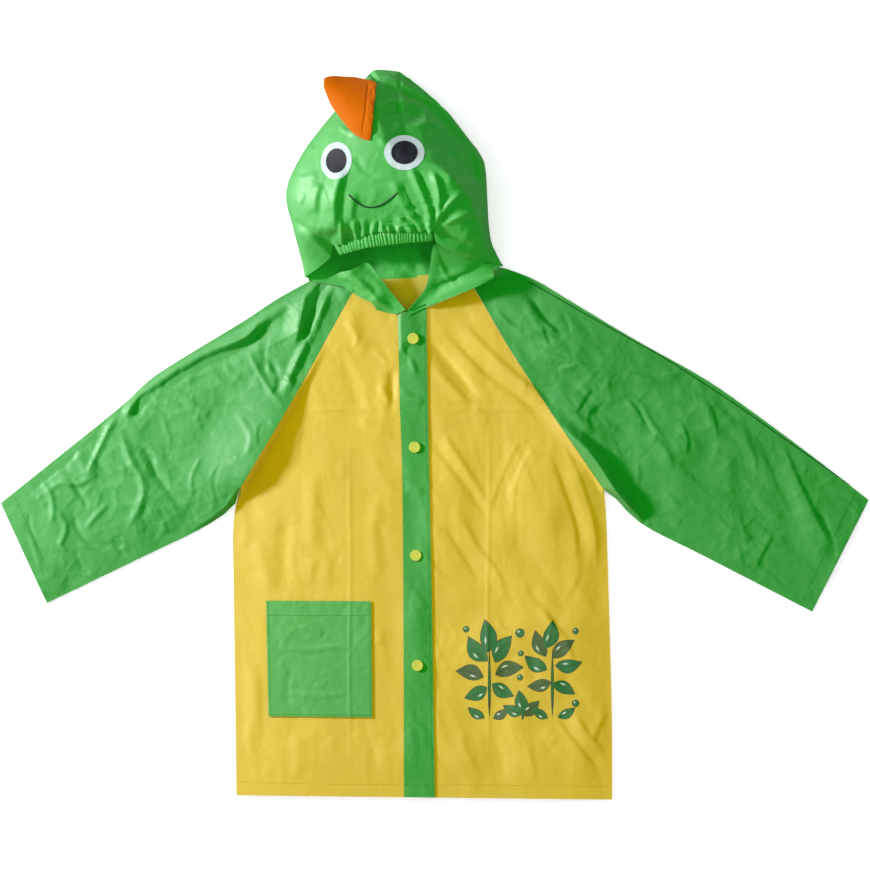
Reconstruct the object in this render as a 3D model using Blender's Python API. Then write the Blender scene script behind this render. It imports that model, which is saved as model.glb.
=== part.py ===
"""A child's hooded raincoat laid flat, face up, with its hood propped open.

Metres, +Z up. The coat lies on z = 0 with its hood towards +Y and the wearer's
right side at -X. The origin is the middle of its footprint, on the floor.
Lengths in the tables below are millimetres.
"""

import math

import bmesh
import bpy
from mathutils import Vector
from mathutils.bvhtree import BVHTree

MM = 0.001

# Driving dimensions
WALL = 1.0  # thickness of one layer of vinyl
GAP = 0.3  # clearance between pieces that meet or lie on each other
CELL = 17.0  # length of a facet on the fronts and sleeves
PUFF = 2.2  # how far the fronts stand off the back away from the seams
PUFF_REACH = 45.0  # distance from a seam at which they stand off fully
FLANGE = 6.0  # flat welded edge where front and back join
PLACKET_WIDTH = 33.0
RIGHT_NECK_DROP = 9.0  # how much lower the hidden right front edge ends
RIGHT_NECK_SCOOP = 10.0  # depth of the curve in the right front's neck edge
PLACKET_LIFT = 0.5
POCKET_LIFT = 0.6
PATCH_LIFT = 0.9
SNAP_RADIUS = 6.0
SNAP_HEIGHT = 2.4
CREST_THICKNESS = 7.0
CASING_THICKNESS = 5.0
CUFF_TIP = 468.5  # half of the width from cuff to cuff
HEM_LOW = -394.0
PEAK = 394.0

# Seams and edges: rows of (x, y), each from the hem or cuff towards the neck
SIDE_RIGHT = ((-214.1, -389.2), (-216.8, -178.6), (-217.6, -97.6), (-210.3, -58.8))
SIDE_LEFT = ((191.5, HEM_LOW), (191.2, -303.9), (188.0, -178.6), (185.5, -97.6), (182.8, -59.8))
RAGLAN_RIGHT = ((-210.3, -58.8), (-169.5, 9.3), (-140.1, 60.6), (-110.9, 114.0), (-87.2, 156.2))
RAGLAN_LEFT = (
    (182.8, -59.8),
    (137.5, 6.0),
    (108.3, 50.3),
    (80.2, 93.5),
    (58.2, 131.3),
    (42.4, 158.3),
)
SLEEVE_TOP_RIGHT = (
    (-CUFF_TIP, -73.9),
    (-410.5, -27.4),
    (-356.6, 15.8),
    (-330.5, 37.4),
    (-307.8, 59.0),
    (-275.4, 80.6),
    (-204.2, 123.8),
    (-171.8, 145.4),
    (-135.8, 165.4),
)
SLEEVE_UNDER_RIGHT = (
    (-418.7, -181.9),
    (-301.0, -125.2),
    (-254.0, -102.5),
    (-219.0, -79.0),
    (-210.3, -58.8),
)
SLEEVE_TOP_LEFT = (
    (CUFF_TIP, -70.6),
    (413.0, -27.4),
    (355.0, 15.8),
    (293.4, 59.0),
    (216.8, 102.2),
    (144.6, 145.4),
    (108.6, 167.0),
    (76.0, 179.6),
)
SLEEVE_UNDER_LEFT = (
    (407.5, -191.1),
    (290.8, -131.1),
    (223.8, -96.6),
    (192.4, -66.0),
    (182.8, -59.8),
)
PLACKET_SEAM = ((0.0, -391.7), (-3.2, -178.6), (-5.9, -46.9), (-8.6, 96.8), (-8.6, 136.0))
PLACKET_FREE_EDGE = (
    (-PLACKET_WIDTH, -391.3),
    (-33.9, -134.4),
    (-35.5, -20.4),
    (-37.6, 30.9),
    (-39.4, 125.0),
)
NECK_BACK = ((-131.0, 167.0), (-54.0, 168.5), (-5.0, 173.5), (66.0, 180.5))

# Largest folds of the fronts and sleeves, as ridges (+) and troughs (-)
# (start x, start y, end x, end y, height, half width)
FOLDS = (
    (-228.0, -45.0, -158.0, 66.0, 1.4, 25.0),
    (-300.0, 36.0, -165.0, 126.0, -1.2, 14.0),
    (-345.0, 10.0, -376.0, -50.0, 1.0, 14.0),
    (-328.0, -15.0, -325.0, -95.0, 1.0, 14.0),
    (-118.0, 158.0, -127.0, 124.0, 1.2, 14.0),
    (112.0, 45.0, 172.0, -45.0, 1.4, 20.0),
    (180.0, 0.0, 240.0, -75.0, -1.2, 20.0),
    (125.0, 72.0, 260.0, 48.0, 1.0, 14.0),
    (380.0, -10.0, 428.0, -128.0, 1.2, 14.0),
    (2.0, 92.0, 40.0, 42.0, -1.2, 14.0),
    (55.0, 106.0, 112.0, 30.0, 1.0, 14.0),
    (95.0, 5.0, 62.0, -80.0, -1.0, 14.0),
)

# Hood: one row for each ring, from the peak to just above the brim. The rings
# run round the hood: side, centre seam on top, side, centre seam underneath.
# (right x, right y, top x, top y, top z, left x, left y, under x, under y,
#  fullness of the right side, fullness of the left side)
HOOD_RINGS = (
    (-74.2, 385.0, -62.0, PEAK, 3.0, -37.5, 391.6, -58.0, 391.0, 2.0, 2.0),
    (-88.0, 372.0, -62.3, 380.8, 20.0, -23.4, 380.8, -54.8, 377.6, 2.0, 1.6),
    (-99.0, 359.2, -63.4, 361.4, 36.0, -0.8, 361.4, -51.5, 356.0, 2.0, 1.5),
    (-116.3, 338.7, -65.6, 337.6, 48.0, 20.8, 339.8, -48.3, 334.4, 2.0, 1.6),
    (-133.6, 317.1, -67.7, 316.0, 57.0, 38.1, 318.2, -45.0, 312.8, 2.1, 1.8),
    (-146.6, 296.6, -66.6, 294.4, 62.0, 53.2, 296.6, -41.8, 291.2, 2.2, 2.2),
    (-158.4, 272.8, -64.5, 270.6, 65.0, 56.5, 272.8, -39.6, 267.4, 2.3, 2.8),
    (-160.6, 250.1, -62.3, 252.0, 65.0, 57.6, 250.1, -37.5, 244.7, 2.4, 3.2),
    (-154.1, 227.4, -59.1, 236.0, 62.0, 58.6, 229.6, -35.3, 222.0, 2.4, 3.2),
    (-148.7, 204.8, -56.5, 227.0, 58.0, 61.6, 205.5, -32.1, 197.2, 2.4, 2.8),
)
# Edge of the hood from the centre seam down to each corner: (x, y, z)
BRIM_RIGHT = (
    (-55.0, 220.2, 55.0),
    (-70.4, 218.4, 52.0),
    (-90.0, 214.6, 43.0),
    (-109.0, 208.8, 31.0),
    (-112.0, 189.5, 25.0),
    (-128.0, 177.5, 16.0),
    (-140.1, 170.0, 9.0),
)
BRIM_LEFT = (
    (-55.0, 220.2, 55.0),
    (-40.0, 221.4, 56.0),
    (-20.0, 221.9, 56.0),
    (-2.5, 221.9, 54.0),
    (1.0, 206.0, 50.0),
    (17.6, 197.6, 43.0),
    (34.3, 186.5, 33.0),
    (52.0, 183.0, 20.0),
    (73.5, 182.0, 10.0),
)
HOOD_SIDE_SHARE = 0.22  # height of the widest point of a ring, of its top
HOOD_SIDE_BASE = 1.8

# Elastic casing on the brim: (upper x, upper y, upper z, lower x, lower y, lower z)
CASING = (
    (-107.5, 207.6, 30.0, -100.5, 191.8, 25.0),
    (-89.3, 213.6, 43.0, -85.0, 196.1, 37.0),
    (-70.4, 217.6, 51.0, -70.4, 199.6, 46.0),
    (-43.5, 220.6, 55.0, -43.5, 203.1, 50.0),
    (-23.4, 221.2, 55.5, -24.5, 205.3, 51.0),
    (-4.2, 221.2, 53.5, -4.0, 206.7, 50.0),
)

# Neck flaps, the hood's lowest front edges turned out over the fronts
# (lower x, lower y, lift off the fronts, upper x, upper y, upper z)
FLAP_RIGHT = (
    (-118.0, 163.0, 0.6, -113.0, 169.4, 7.5),
    (-101.2, 160.5, 0.6, -96.9, 177.5, 13.0),
    (-86.1, 155.1, 0.6, -75.0, 182.1, 16.0),
    (-67.7, 147.6, 0.6, -58.0, 168.0, 14.0),
    (-61.2, 135.6, 0.6, -48.3, 155.1, 11.0),
    (-41.5, 129.5, 2.2, -31.5, 134.5, 9.5),
)
FLAP_LEFT = (
    (-27.8, 128.6, 2.2, -28.3, 134.9, 9.5),
    (-7.2, 138.3, 2.2, -9.0, 158.3, 14.0),
    (13.3, 146.1, 1.0, -4.5, 174.5, 24.0),
    (27.3, 151.8, 0.8, 4.5, 192.0, 38.0),
    (42.4, 157.8, 0.8, 24.1, 185.5, 31.0),
    (54.3, 163.7, 0.8, 42.4, 178.0, 20.0),
    (64.0, 169.5, 0.8, 62.0, 175.1, 9.5),
)

# Crest, a stuffed fin sewn in the centre seam and fallen to the right
# (upper x, upper y, lower x, lower y), from the seam to the tip
CREST = (
    (-62.6, 380.0, -68.6, 314.0),
    (-75.3, 383.0, -78.0, 316.5),
    (-86.1, 385.3, -91.0, 326.0),
    (-102.3, 385.7, -105.5, 345.0),
    (-112.0, 385.5, -114.5, 360.0),
    (-119.0, 383.0, -119.8, 374.0),
)
CREST_EDGE_THICKNESS = 2.0
CREST_TIP_Z = 34.0

# Eyes: (name, x, y, half width, half height, lean in degrees)
EYES = (
    ("right", -105.4, 293.4, 17.0, 21.0, -8.0),
    ("left", -32.5, 301.9, 22.0, 19.5, 0.0),
)
PUPIL_SHARE = 0.66

POCKET_CORNERS = ((-181.9, -179.3), (-68.8, -179.8), (-67.6, -304.9), (-179.2, -303.9))
SNAPS = ((-23.3, 103.6), (-21.6, -13.6), (-20.3, -130.2), (-18.6, -249.0))

YELLOW = (0.756, 0.572, 0.060, 1.0)
GREEN = (0.070, 0.360, 0.075, 1.0)
LIGHT_YELLOW = (0.650, 0.690, 0.130, 1.0)
ORANGE = (0.695, 0.156, 0.003, 1.0)
WHITE = (0.780, 0.830, 0.860, 1.0)
INK = (0.030, 0.032, 0.042, 1.0)


def clear_scene():
    for old in list(bpy.data.objects):
        bpy.data.objects.remove(old)


def material(name, colour, roughness):
    made = bpy.data.materials.new(name)
    made.use_nodes = True
    shader = made.node_tree.nodes["Principled BSDF"]
    shader.inputs["Base Color"].default_value = colour
    shader.inputs["Roughness"].default_value = roughness
    shader.inputs["Metallic"].default_value = 0.0
    return made


def add_object(name, bm, look):
    bmesh.ops.recalc_face_normals(bm, faces=bm.faces)
    bmesh.ops.scale(bm, vec=(MM, MM, MM), verts=bm.verts)
    mesh = bpy.data.meshes.new(name)
    bm.to_mesh(mesh)
    bm.free()
    mesh.materials.append(look)
    made = bpy.data.objects.new(name, mesh)
    bpy.context.scene.collection.objects.link(made)
    return made


# Curves


def curve(rows, count):
    """Return count + 1 points evenly spaced on a smooth curve through the rows."""
    points = [Vector(row) for row in rows]
    dense = []
    for index in range(len(points) - 1):
        before = points[max(index - 1, 0)]
        start, end = points[index], points[index + 1]
        after = points[min(index + 2, len(points) - 1)]
        for step in range(8):
            t = step / 8
            dense.append(
                0.5
                * (
                    2 * start
                    + (end - before) * t
                    + (2 * before - 5 * start + 4 * end - after) * t * t
                    + (3 * start - before - 3 * end + after) * t ** 3
                )
            )
    dense.append(points[-1])
    return spaced(dense, count)


def spaced(points, count):
    """Return count + 1 points at even distances along a line of points."""
    lengths = [0.0]
    for start, end in zip(points, points[1:]):
        lengths.append(lengths[-1] + (end - start).length)
    result = []
    piece = 0
    for index in range(count + 1):
        wanted = lengths[-1] * index / count
        while piece < len(points) - 2 and lengths[piece + 1] < wanted:
            piece += 1
        span = lengths[piece + 1] - lengths[piece]
        result.append(points[piece].lerp(points[piece + 1], (wanted - lengths[piece]) / span))
    return result


def steps_along(rows):
    points = [Vector(row) for row in rows]
    total = sum((b - a).length for a, b in zip(points, points[1:]))
    return max(2, round(total / CELL))


def moved_aside(points, distance):
    """Move a line of plan points to its left by a distance."""
    result = []
    for index, point in enumerate(points):
        ahead = points[min(index + 1, len(points) - 1)]
        behind = points[max(index - 1, 0)]
        along = (ahead - behind).normalized()
        result.append(point + Vector((-along.y, along.x)) * distance)
    return result


def segment_distance(point, start, end):
    along = end - start
    share = max(0.0, min(1.0, (point - start).dot(along) / along.length_squared))
    return (point - start - along * share).length, share


# Form of the upper layer


OUTER_SEAMS = [
    [Vector(row) for row in rows]
    for rows in (
        SIDE_RIGHT,
        SIDE_LEFT,
        SLEEVE_TOP_RIGHT,
        SLEEVE_UNDER_RIGHT,
        SLEEVE_TOP_LEFT,
        SLEEVE_UNDER_LEFT,
    )
]


def seam_distance(point):
    return min(
        segment_distance(point, start, end)[0]
        for seam in OUTER_SEAMS
        for start, end in zip(seam, seam[1:])
    )


def upper_layer(point):
    """Height of the underside of the fronts and sleeves at a plan point."""
    inside = max(0.0, seam_distance(point) - FLANGE)
    share = min(1.0, inside / PUFF_REACH)
    rise = PUFF * share * (2.0 - share)
    for x0, y0, x1, y1, height, half_width in FOLDS:
        distance, along = segment_distance(point, Vector((x0, y0)), Vector((x1, y1)))
        fade = math.sin(math.pi * min(1.0, max(0.0, 0.12 + 0.76 * along)))
        rise += share * height * fade * math.exp(-((distance / half_width) ** 2))
    return WALL + GAP + max(0.0, rise)


# Sheets


def closed_sheet(lower, upper):
    """Close two matching grids of points into one thin solid."""
    bm = bmesh.new()
    rows, columns = len(lower), len(lower[0])
    low = [[bm.verts.new(point) for point in row] for row in lower]
    high = [[bm.verts.new(point) for point in row] for row in upper]
    for i in range(rows - 1):
        for j in range(columns - 1):
            bm.faces.new((high[i][j], high[i][j + 1], high[i + 1][j + 1], high[i + 1][j]))
            bm.faces.new((low[i][j], low[i + 1][j], low[i + 1][j + 1], low[i][j + 1]))
    rim = [(0, j) for j in range(columns)]
    rim += [(i, columns - 1) for i in range(1, rows)]
    rim += [(rows - 1, j) for j in range(columns - 2, -1, -1)]
    rim += [(i, 0) for i in range(rows - 2, 0, -1)]
    for (i, j), (k, m) in zip(rim, rim[1:] + rim[:1]):
        bm.faces.new((low[i][j], low[k][m], high[k][m], high[i][j]))
    bmesh.ops.triangulate(bm, faces=bm.faces)
    return bm


def ruled_plan(first, second, columns):
    """Plan points on the lines that join two edges with as many points."""
    return [
        [start.lerp(end, j / columns) for j in range(columns + 1)]
        for start, end in zip(first, second, strict=True)
    ]


def draped_sheet(name, plan, lift, look):
    """A sheet of vinyl that follows the upper layer, lifted off it."""
    lower = [[(p.x, p.y, upper_layer(p) + lift) for p in row] for row in plan]
    upper = [[(x, y, z + WALL) for x, y, z in row] for row in lower]
    return add_object(name, closed_sheet(lower, upper), look)


def flat_sheet(name, outline, look):
    """A layer that lies on the floor, cut to an outline."""
    bm = bmesh.new()
    face = bm.faces.new([bm.verts.new((p.x, p.y, 0.0)) for p in outline])
    made = bmesh.ops.extrude_face_region(bm, geom=[face])
    top = [item for item in made["geom"] if isinstance(item, bmesh.types.BMVert)]
    bmesh.ops.translate(bm, vec=(0, 0, WALL), verts=top)
    bmesh.ops.triangulate(bm, faces=bm.faces, ngon_method="EAR_CLIP")
    return add_object(name, bm, look)


# Body and sleeves


def body_side(side, raglan, gap_side):
    """Outer edge of a body panel from the hem to the neck."""
    lower = curve(side, steps_along(side))
    upper = curve(raglan, steps_along(raglan))
    return lower[:-1] + moved_aside(upper, gap_side * GAP / 2)


def build_fronts(yellow):
    for name, side, raglan, gap_side, middle, drop, scoop in (
        ("front_right", SIDE_RIGHT, RAGLAN_RIGHT, -1, -0.6, RIGHT_NECK_DROP, RIGHT_NECK_SCOOP),
        ("front_left", SIDE_LEFT, RAGLAN_LEFT, 1, GAP, 0.0, 0.0),
    ):
        outer = body_side(side, raglan, gap_side)
        edge = [Vector((x + middle, y)) for x, y in PLACKET_SEAM]
        edge[-1].y -= drop
        inner = spaced(edge, len(outer) - 1)
        width = abs(outer[0].x - inner[0].x)
        plan = ruled_plan(outer, inner, round(width / CELL))
        scooped(plan, scoop)
        draped_sheet(name, plan, 0.0, yellow)


def scooped(plan, depth):
    """Hollow the neck end of a front's plan, less and less over four rows."""
    for back, share in enumerate((1.0, 0.6, 0.3, 0.1), start=1):
        row = plan[-back]
        for index, point in enumerate(row):
            point.y -= depth * share * math.sin(math.pi * index / (len(row) - 1))


def build_back(yellow):
    right = body_side(SIDE_RIGHT, RAGLAN_RIGHT, -1)
    left = body_side(SIDE_LEFT, RAGLAN_LEFT, 1)
    neck = [
        neck_point(RAGLAN_RIGHT[-1][0] - 2.0),
        neck_point(NECK_BACK[1][0]),
        neck_point(NECK_BACK[2][0]),
        neck_point(RAGLAN_LEFT[-1][0] + 4.0),
    ]
    flat_sheet("back", right + neck + left[::-1], yellow)


def neck_point(x):
    """Point of the back neck seam, on the body's side of it."""
    for (x0, y0), (x1, y1) in zip(NECK_BACK, NECK_BACK[1:]):
        if x <= x1:
            break
    return Vector((x, y0 + (y1 - y0) * (x - x0) / (x1 - x0) - GAP))


def build_sleeves(green):
    for side, top, under, raglan, gap_side in (
        ("right", SLEEVE_TOP_RIGHT, SLEEVE_UNDER_RIGHT, RAGLAN_RIGHT, 1),
        ("left", SLEEVE_TOP_LEFT, SLEEVE_UNDER_LEFT, RAGLAN_LEFT, -1),
    ):
        seam = moved_aside(curve(raglan, steps_along(raglan)), gap_side * GAP / 2)
        lower = curve(under, steps_along(under))[:-1] + seam
        upper = curve(top, len(lower) - 1)
        width = (upper[0] - lower[0]).length
        plan = ruled_plan(upper, lower, round(width / CELL))
        draped_sheet("sleeve_front_" + side, plan, 0.0, green)
        outward = -1.0 if side == "right" else 1.0
        corner = seam[-1] + Vector((outward * 2.0, 0.0))
        neck = [neck_point(corner.x + outward * 2.3), neck_point(upper[-1].x - outward * 6.0)]
        flat_sheet("sleeve_back_" + side, lower + neck + upper[::-1], green)


# Placket, pocket and snaps


def build_placket(green):
    seam = curve(PLACKET_SEAM, 30)
    free_edge = curve(PLACKET_FREE_EDGE, 30)
    draped_sheet("placket", ruled_plan(seam, free_edge, 3), WALL + PLACKET_LIFT, green)


def build_pocket(green):
    top_left, top_right, low_right, low_left = [Vector(row) for row in POCKET_CORNERS]
    first = spaced([top_left, low_left], 7)
    second = spaced([top_right, low_right], 7)
    draped_sheet("pocket", ruled_plan(first, second, 6), WALL + POCKET_LIFT, green)


def build_snaps(light_yellow):
    profile = ((0.55, 0.0), (1.0, 0.25), (1.0, 0.5), (0.85, 0.8), (0.7, 0.72), (0.0, 0.78))
    for index, (x, y) in enumerate(SNAPS):
        base = upper_layer(Vector((x, y))) + 2 * WALL + PLACKET_LIFT + GAP + 0.2
        bm = bmesh.new()
        turned = [
            bm.verts.new((x + share * SNAP_RADIUS, y, base + height * SNAP_HEIGHT))
            for share, height in profile
        ]
        foot = bm.verts.new((x, y, base))
        chain = [foot] + turned
        edges = [bm.edges.new(pair) for pair in zip(chain, chain[1:])]
        bmesh.ops.spin(
            bm,
            geom=chain + edges,
            cent=(x, y, 0.0),
            axis=(0, 0, 1),
            angle=math.tau,
            steps=20,
            use_merge=True,
        )
        bmesh.ops.remove_doubles(bm, verts=bm.verts, dist=0.01)
        add_object("snap_" + str(index + 1), bm, light_yellow)


# Hood


def ring_half(top, side, under, fullness, lead):
    """Points of half a ring: over the top, round the side and along the floor."""
    side_z = HOOD_SIDE_BASE + HOOD_SIDE_SHARE * top.z
    top_arc, under_arc, floor_steps = 9, 3, 5
    towards = 1.0 if under.x > side.x else -1.0
    points = []
    for step in range(top_arc + 1):
        angle = math.pi / 2 * step / top_arc
        across = math.sin(angle) ** (2 / fullness)
        height = math.cos(angle) ** (2 / fullness) if step < top_arc else 0.0
        points.append(
            Vector(
                (
                    top.x + (side.x - top.x) * across,
                    top.y + (side.y - top.y) * across ** lead,
                    side_z + (top.z - side_z) * height,
                )
            )
        )
    tuck = Vector((side.x + towards * side_z, side.y, 0.0))
    for step in range(1, under_arc + 1):
        angle = math.pi / 2 * step / under_arc
        points.append(
            Vector(
                (
                    tuck.x + (side.x - tuck.x) * math.cos(angle),
                    tuck.y,
                    side_z * (1.0 - math.sin(angle)),
                )
            )
        )
    for step in range(1, floor_steps + 1):
        points.append(tuck.lerp(Vector((under.x, under.y, 0.0)), step / floor_steps))
    return points


def brim_half(brim, neck_end, under):
    """The last ring: along the brim to the corner, then back on the floor."""
    points = spaced([Vector(row) for row in brim], 9)
    corner = points[-1]
    foot = Vector((neck_end[0], neck_end[1], 0.0))
    for step in (1, 2):
        share = step / 3
        low = corner.lerp(foot, share)
        low.z = corner.z * (1.0 - share) ** 1.6
        points.append(low)
    points.append(foot)
    for step in range(1, 6):
        points.append(foot.lerp(Vector((under[0], under[1], 0.0)), step / 5))
    return points


def grid_normals(grid):
    rows, columns = len(grid), len(grid[0])
    normals = []
    for i in range(rows):
        line = []
        for j in range(columns):
            along = grid[min(i + 1, rows - 1)][j] - grid[max(i - 1, 0)][j]
            across = grid[i][min(j + 1, columns - 1)] - grid[i][max(j - 1, 0)]
            line.append(along.cross(across).normalized())
        normals.append(line)
    return [
        [
            sum((normals[k][m] for k, m in around(i, j, rows, columns)), Vector()).normalized()
            for j in range(columns)
        ]
        for i in range(rows)
    ]


def around(i, j, rows, columns):
    """Rows and columns of a grid point and of its neighbours."""
    return [
        (k, m)
        for k in range(max(0, i - 1), min(rows, i + 2))
        for m in range(max(0, j - 1), min(columns, j + 2))
    ]


def hood_grid(side):
    """Outer points of a hood half, ring by ring from the peak to the brim."""
    sign = -1.0 if side == "right" else 1.0
    rings = []
    for rx, ry, tx, ty, tz, lx, ly, ux, uy, full_right, full_left in HOOD_RINGS:
        seam_shift = sign * GAP / 2
        top = Vector((tx + seam_shift, ty, tz))
        under = Vector((ux + seam_shift, uy, 0.0))
        outer = Vector((rx, ry, 0.0)) if side == "right" else Vector((lx, ly, 0.0))
        fullness = full_right if side == "right" else full_left
        rings.append(ring_half(top, outer, under, fullness, 2.0))
    brim = BRIM_RIGHT if side == "right" else BRIM_LEFT
    brim = tuple((x + sign * GAP / 2 if i == 0 else x, y, z) for i, (x, y, z) in enumerate(brim))
    neck_end = NECK_BACK[0] if side == "right" else NECK_BACK[-1]
    middle = neck_point(-30.0)
    under = (middle.x + sign * GAP / 2, middle.y + 2 * GAP)
    last = brim_half(brim, (neck_end[0], neck_end[1] + GAP), under)
    rings.append(last)
    finer = []
    for column in zip(*rings, strict=True):
        finer.append(through_rings(column))
    return [list(row) for row in zip(*finer, strict=True)]


def through_rings(column):
    """Add a point halfway between each two rings but the last, on a smooth curve."""
    result = []
    for index in range(len(column) - 1):
        before = column[max(index - 1, 0)]
        start, end = column[index], column[index + 1]
        after = column[min(index + 2, len(column) - 1)]
        middle = (9 * (start + end) - before - after) / 16
        middle.z = max(0.0, middle.z)
        result += [start, middle] if index < len(column) - 2 else [start]
    result.append(column[-1])
    return result


def build_hood(green):
    trees = []
    for side in ("right", "left"):
        outer = hood_grid(side)
        normals = grid_normals(outer)
        inward = 1.0 if side == "right" else -1.0
        inner = []
        for row, normal_row in zip(outer, normals):
            line = []
            for point, normal in zip(row, normal_row):
                moved = point + normal * inward * WALL
                if point.z < 0.01:
                    moved = Vector((point.x, point.y, WALL))
                line.append(moved)
            inner.append(line)
        bm = closed_sheet(inner, outer)
        trees.append(BVHTree.FromBMesh(bm))
        add_object("hood_" + side, bm, green)
    return trees


def height_on(trees, x, y):
    """Height of the hood's outer face at a plan point, or None beside it."""
    found = [tree.ray_cast(Vector((x, y, 500.0)), Vector((0, 0, -1)))[0] for tree in trees]
    heights = [hit.z for hit in found if hit is not None]
    return max(heights) if heights else None


def build_casing(green):
    sides = 8
    upper = curve([row[:3] for row in CASING], 14)
    lower = curve([row[3:] for row in CASING], 14)
    bm = bmesh.new()
    sections = []
    for high, low in zip(upper, lower, strict=True):
        middle = (high + low) / 2
        across = (high - low) / 2
        ring = []
        for index in range(sides):
            angle = math.tau * (index + 0.5) / sides
            lift = Vector((0, 0, CASING_THICKNESS / 2 * math.sin(angle)))
            ring.append(bm.verts.new(middle + across * 0.97 * math.cos(angle) + lift))
        sections.append(ring)
    for first, second in zip(sections, sections[1:]):
        for index in range(sides):
            after = (index + 1) % sides
            bm.faces.new((first[index], first[after], second[after], second[index]))
    bm.faces.new(sections[0][::-1])
    bm.faces.new(sections[-1])
    bmesh.ops.triangulate(bm, faces=bm.faces)
    add_object("brim_casing", bm, green)


def seated(x, y, lift):
    """A point lifted off the upper face of the fronts."""
    return (x, y, upper_layer(Vector((x, y))) + WALL + GAP + lift)


def build_flaps(green):
    for side, rows in (("right", FLAP_RIGHT), ("left", FLAP_LEFT)):
        low = curve([seated(row[0], row[1], row[2]) for row in rows], 12)
        high = curve([row[3:] for row in rows], 12)
        lower = ruled_plan(low, high, 4)
        upper = [[p + Vector((0, 0, WALL)) for p in row] for row in lower]
        add_object("neck_flap_" + side, closed_sheet(lower, upper), green)


# Face


def build_crest(trees, orange):
    lengthwise, across = 12, 8
    top_edge = curve([row[:2] for row in CREST], lengthwise)
    low_edge = curve([row[2:] for row in CREST], lengthwise)
    plan = ruled_plan(top_edge, low_edge, across)
    lower, upper = [], []
    for i, row in enumerate(plan):
        out = i / lengthwise
        low_row, high_row = [], []
        for j, point in enumerate(row):
            swell = math.sin(math.pi * j / across) * math.sin(math.pi * min(1.0, 0.06 + 0.9 * (1 - out)))
            thick = CREST_EDGE_THICKNESS + (CREST_THICKNESS - CREST_EDGE_THICKNESS) * max(0.0, swell)
            seat = height_on(trees, point.x, point.y)
            seam = height_on(trees, top_edge[0].x - 1.0 - 5.4 * j / across, row[j].y) or 0.0
            level = seam + (CREST_TIP_Z - seam) * out
            base = max(level, (seat or 0.0)) + 1.6
            low_row.append((point.x, point.y, base))
            high_row.append((point.x, point.y, base + thick))
        lower.append(low_row)
        upper.append(high_row)
    add_object("crest", closed_sheet(lower, upper), orange)


def patch_on_hood(name, trees, centre, half, lean, lift, look):
    """A thin oval patch that follows the hood's surface."""
    rings, around = 4, 24
    turn = math.radians(lean)
    bm = bmesh.new()

    def place(share, angle, extra):
        u = half[0] * share * math.cos(angle)
        v = half[1] * share * math.sin(angle)
        x = centre[0] + u * math.cos(turn) - v * math.sin(turn)
        y = centre[1] + u * math.sin(turn) + v * math.cos(turn)
        return bm.verts.new((x, y, height_on(trees, x, y) + lift + extra))

    layers = []
    for extra in (0.0, WALL * 0.6):
        middle = place(0.0, 0.0, extra)
        circles = [
            [place(ring / rings, math.tau * k / around, extra) for k in range(around)]
            for ring in range(1, rings + 1)
        ]
        layers.append((middle, circles))
    for middle, circles in layers:
        for k in range(around):
            after = (k + 1) % around
            bm.faces.new((middle, circles[0][k], circles[0][after]))
            for inner, outer in zip(circles, circles[1:]):
                bm.faces.new((inner[k], outer[k], outer[after], inner[after]))
    low_rim, high_rim = layers[0][1][-1], layers[1][1][-1]
    for k in range(around):
        after = (k + 1) % around
        bm.faces.new((low_rim[k], low_rim[after], high_rim[after], high_rim[k]))
    bmesh.ops.triangulate(bm, faces=bm.faces)
    return add_object(name, bm, look)


def build_eyes(trees, white, ink):
    for side, x, y, half_width, half_height, lean in EYES:
        half = (half_width, half_height)
        patch_on_hood("eye_white_" + side, trees, (x, y), half, lean, PATCH_LIFT, white)
        smaller = (half_width * PUPIL_SHARE, half_height * PUPIL_SHARE)
        lift = PATCH_LIFT * 2 + WALL * 0.6
        patch_on_hood("pupil_" + side, trees, (x, y), smaller, lean, lift, ink)


def centre_on_origin():
    """Put the middle of the footprint at the origin, with the coat on z = 0."""
    meshes = [item.data for item in bpy.data.objects]
    points = [vertex.co for mesh in meshes for vertex in mesh.vertices]
    middle = [(min(p[axis] for p in points) + max(p[axis] for p in points)) / 2 for axis in (0, 1)]
    shift = Vector((-middle[0], -middle[1], -min(p.z for p in points)))
    for mesh in meshes:
        for vertex in mesh.vertices:
            vertex.co += shift


def main():
    clear_scene()
    yellow = material("yellow_vinyl", YELLOW, 0.35)
    green = material("green_vinyl", GREEN, 0.35)
    light_yellow = material("snap_plastic", LIGHT_YELLOW, 0.4)
    orange = material("orange_vinyl", ORANGE, 0.4)
    white = material("white_vinyl", WHITE, 0.45)
    ink = material("dark_vinyl", INK, 0.4)
    build_back(yellow)
    build_fronts(yellow)
    build_sleeves(green)
    build_placket(green)
    build_pocket(green)
    build_snaps(light_yellow)
    hood = build_hood(green)
    build_casing(green)
    build_flaps(green)
    build_crest(hood, orange)
    build_eyes(hood, white, ink)
    centre_on_origin()


main()
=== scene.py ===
"""Gives a child's hooded raincoat, laid flat and face up, its finished look.

Metres, +Z up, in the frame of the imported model. Sizes in the tables are
millimetres, and a plan point is (x, y) as seen from above. "Right" and "left"
are the wearer's, so the right sleeve is the one at -X.
"""

import math
from functools import cache

import bmesh
import bpy
import numpy as np
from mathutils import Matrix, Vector
from mathutils.bvhtree import BVHTree


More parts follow.
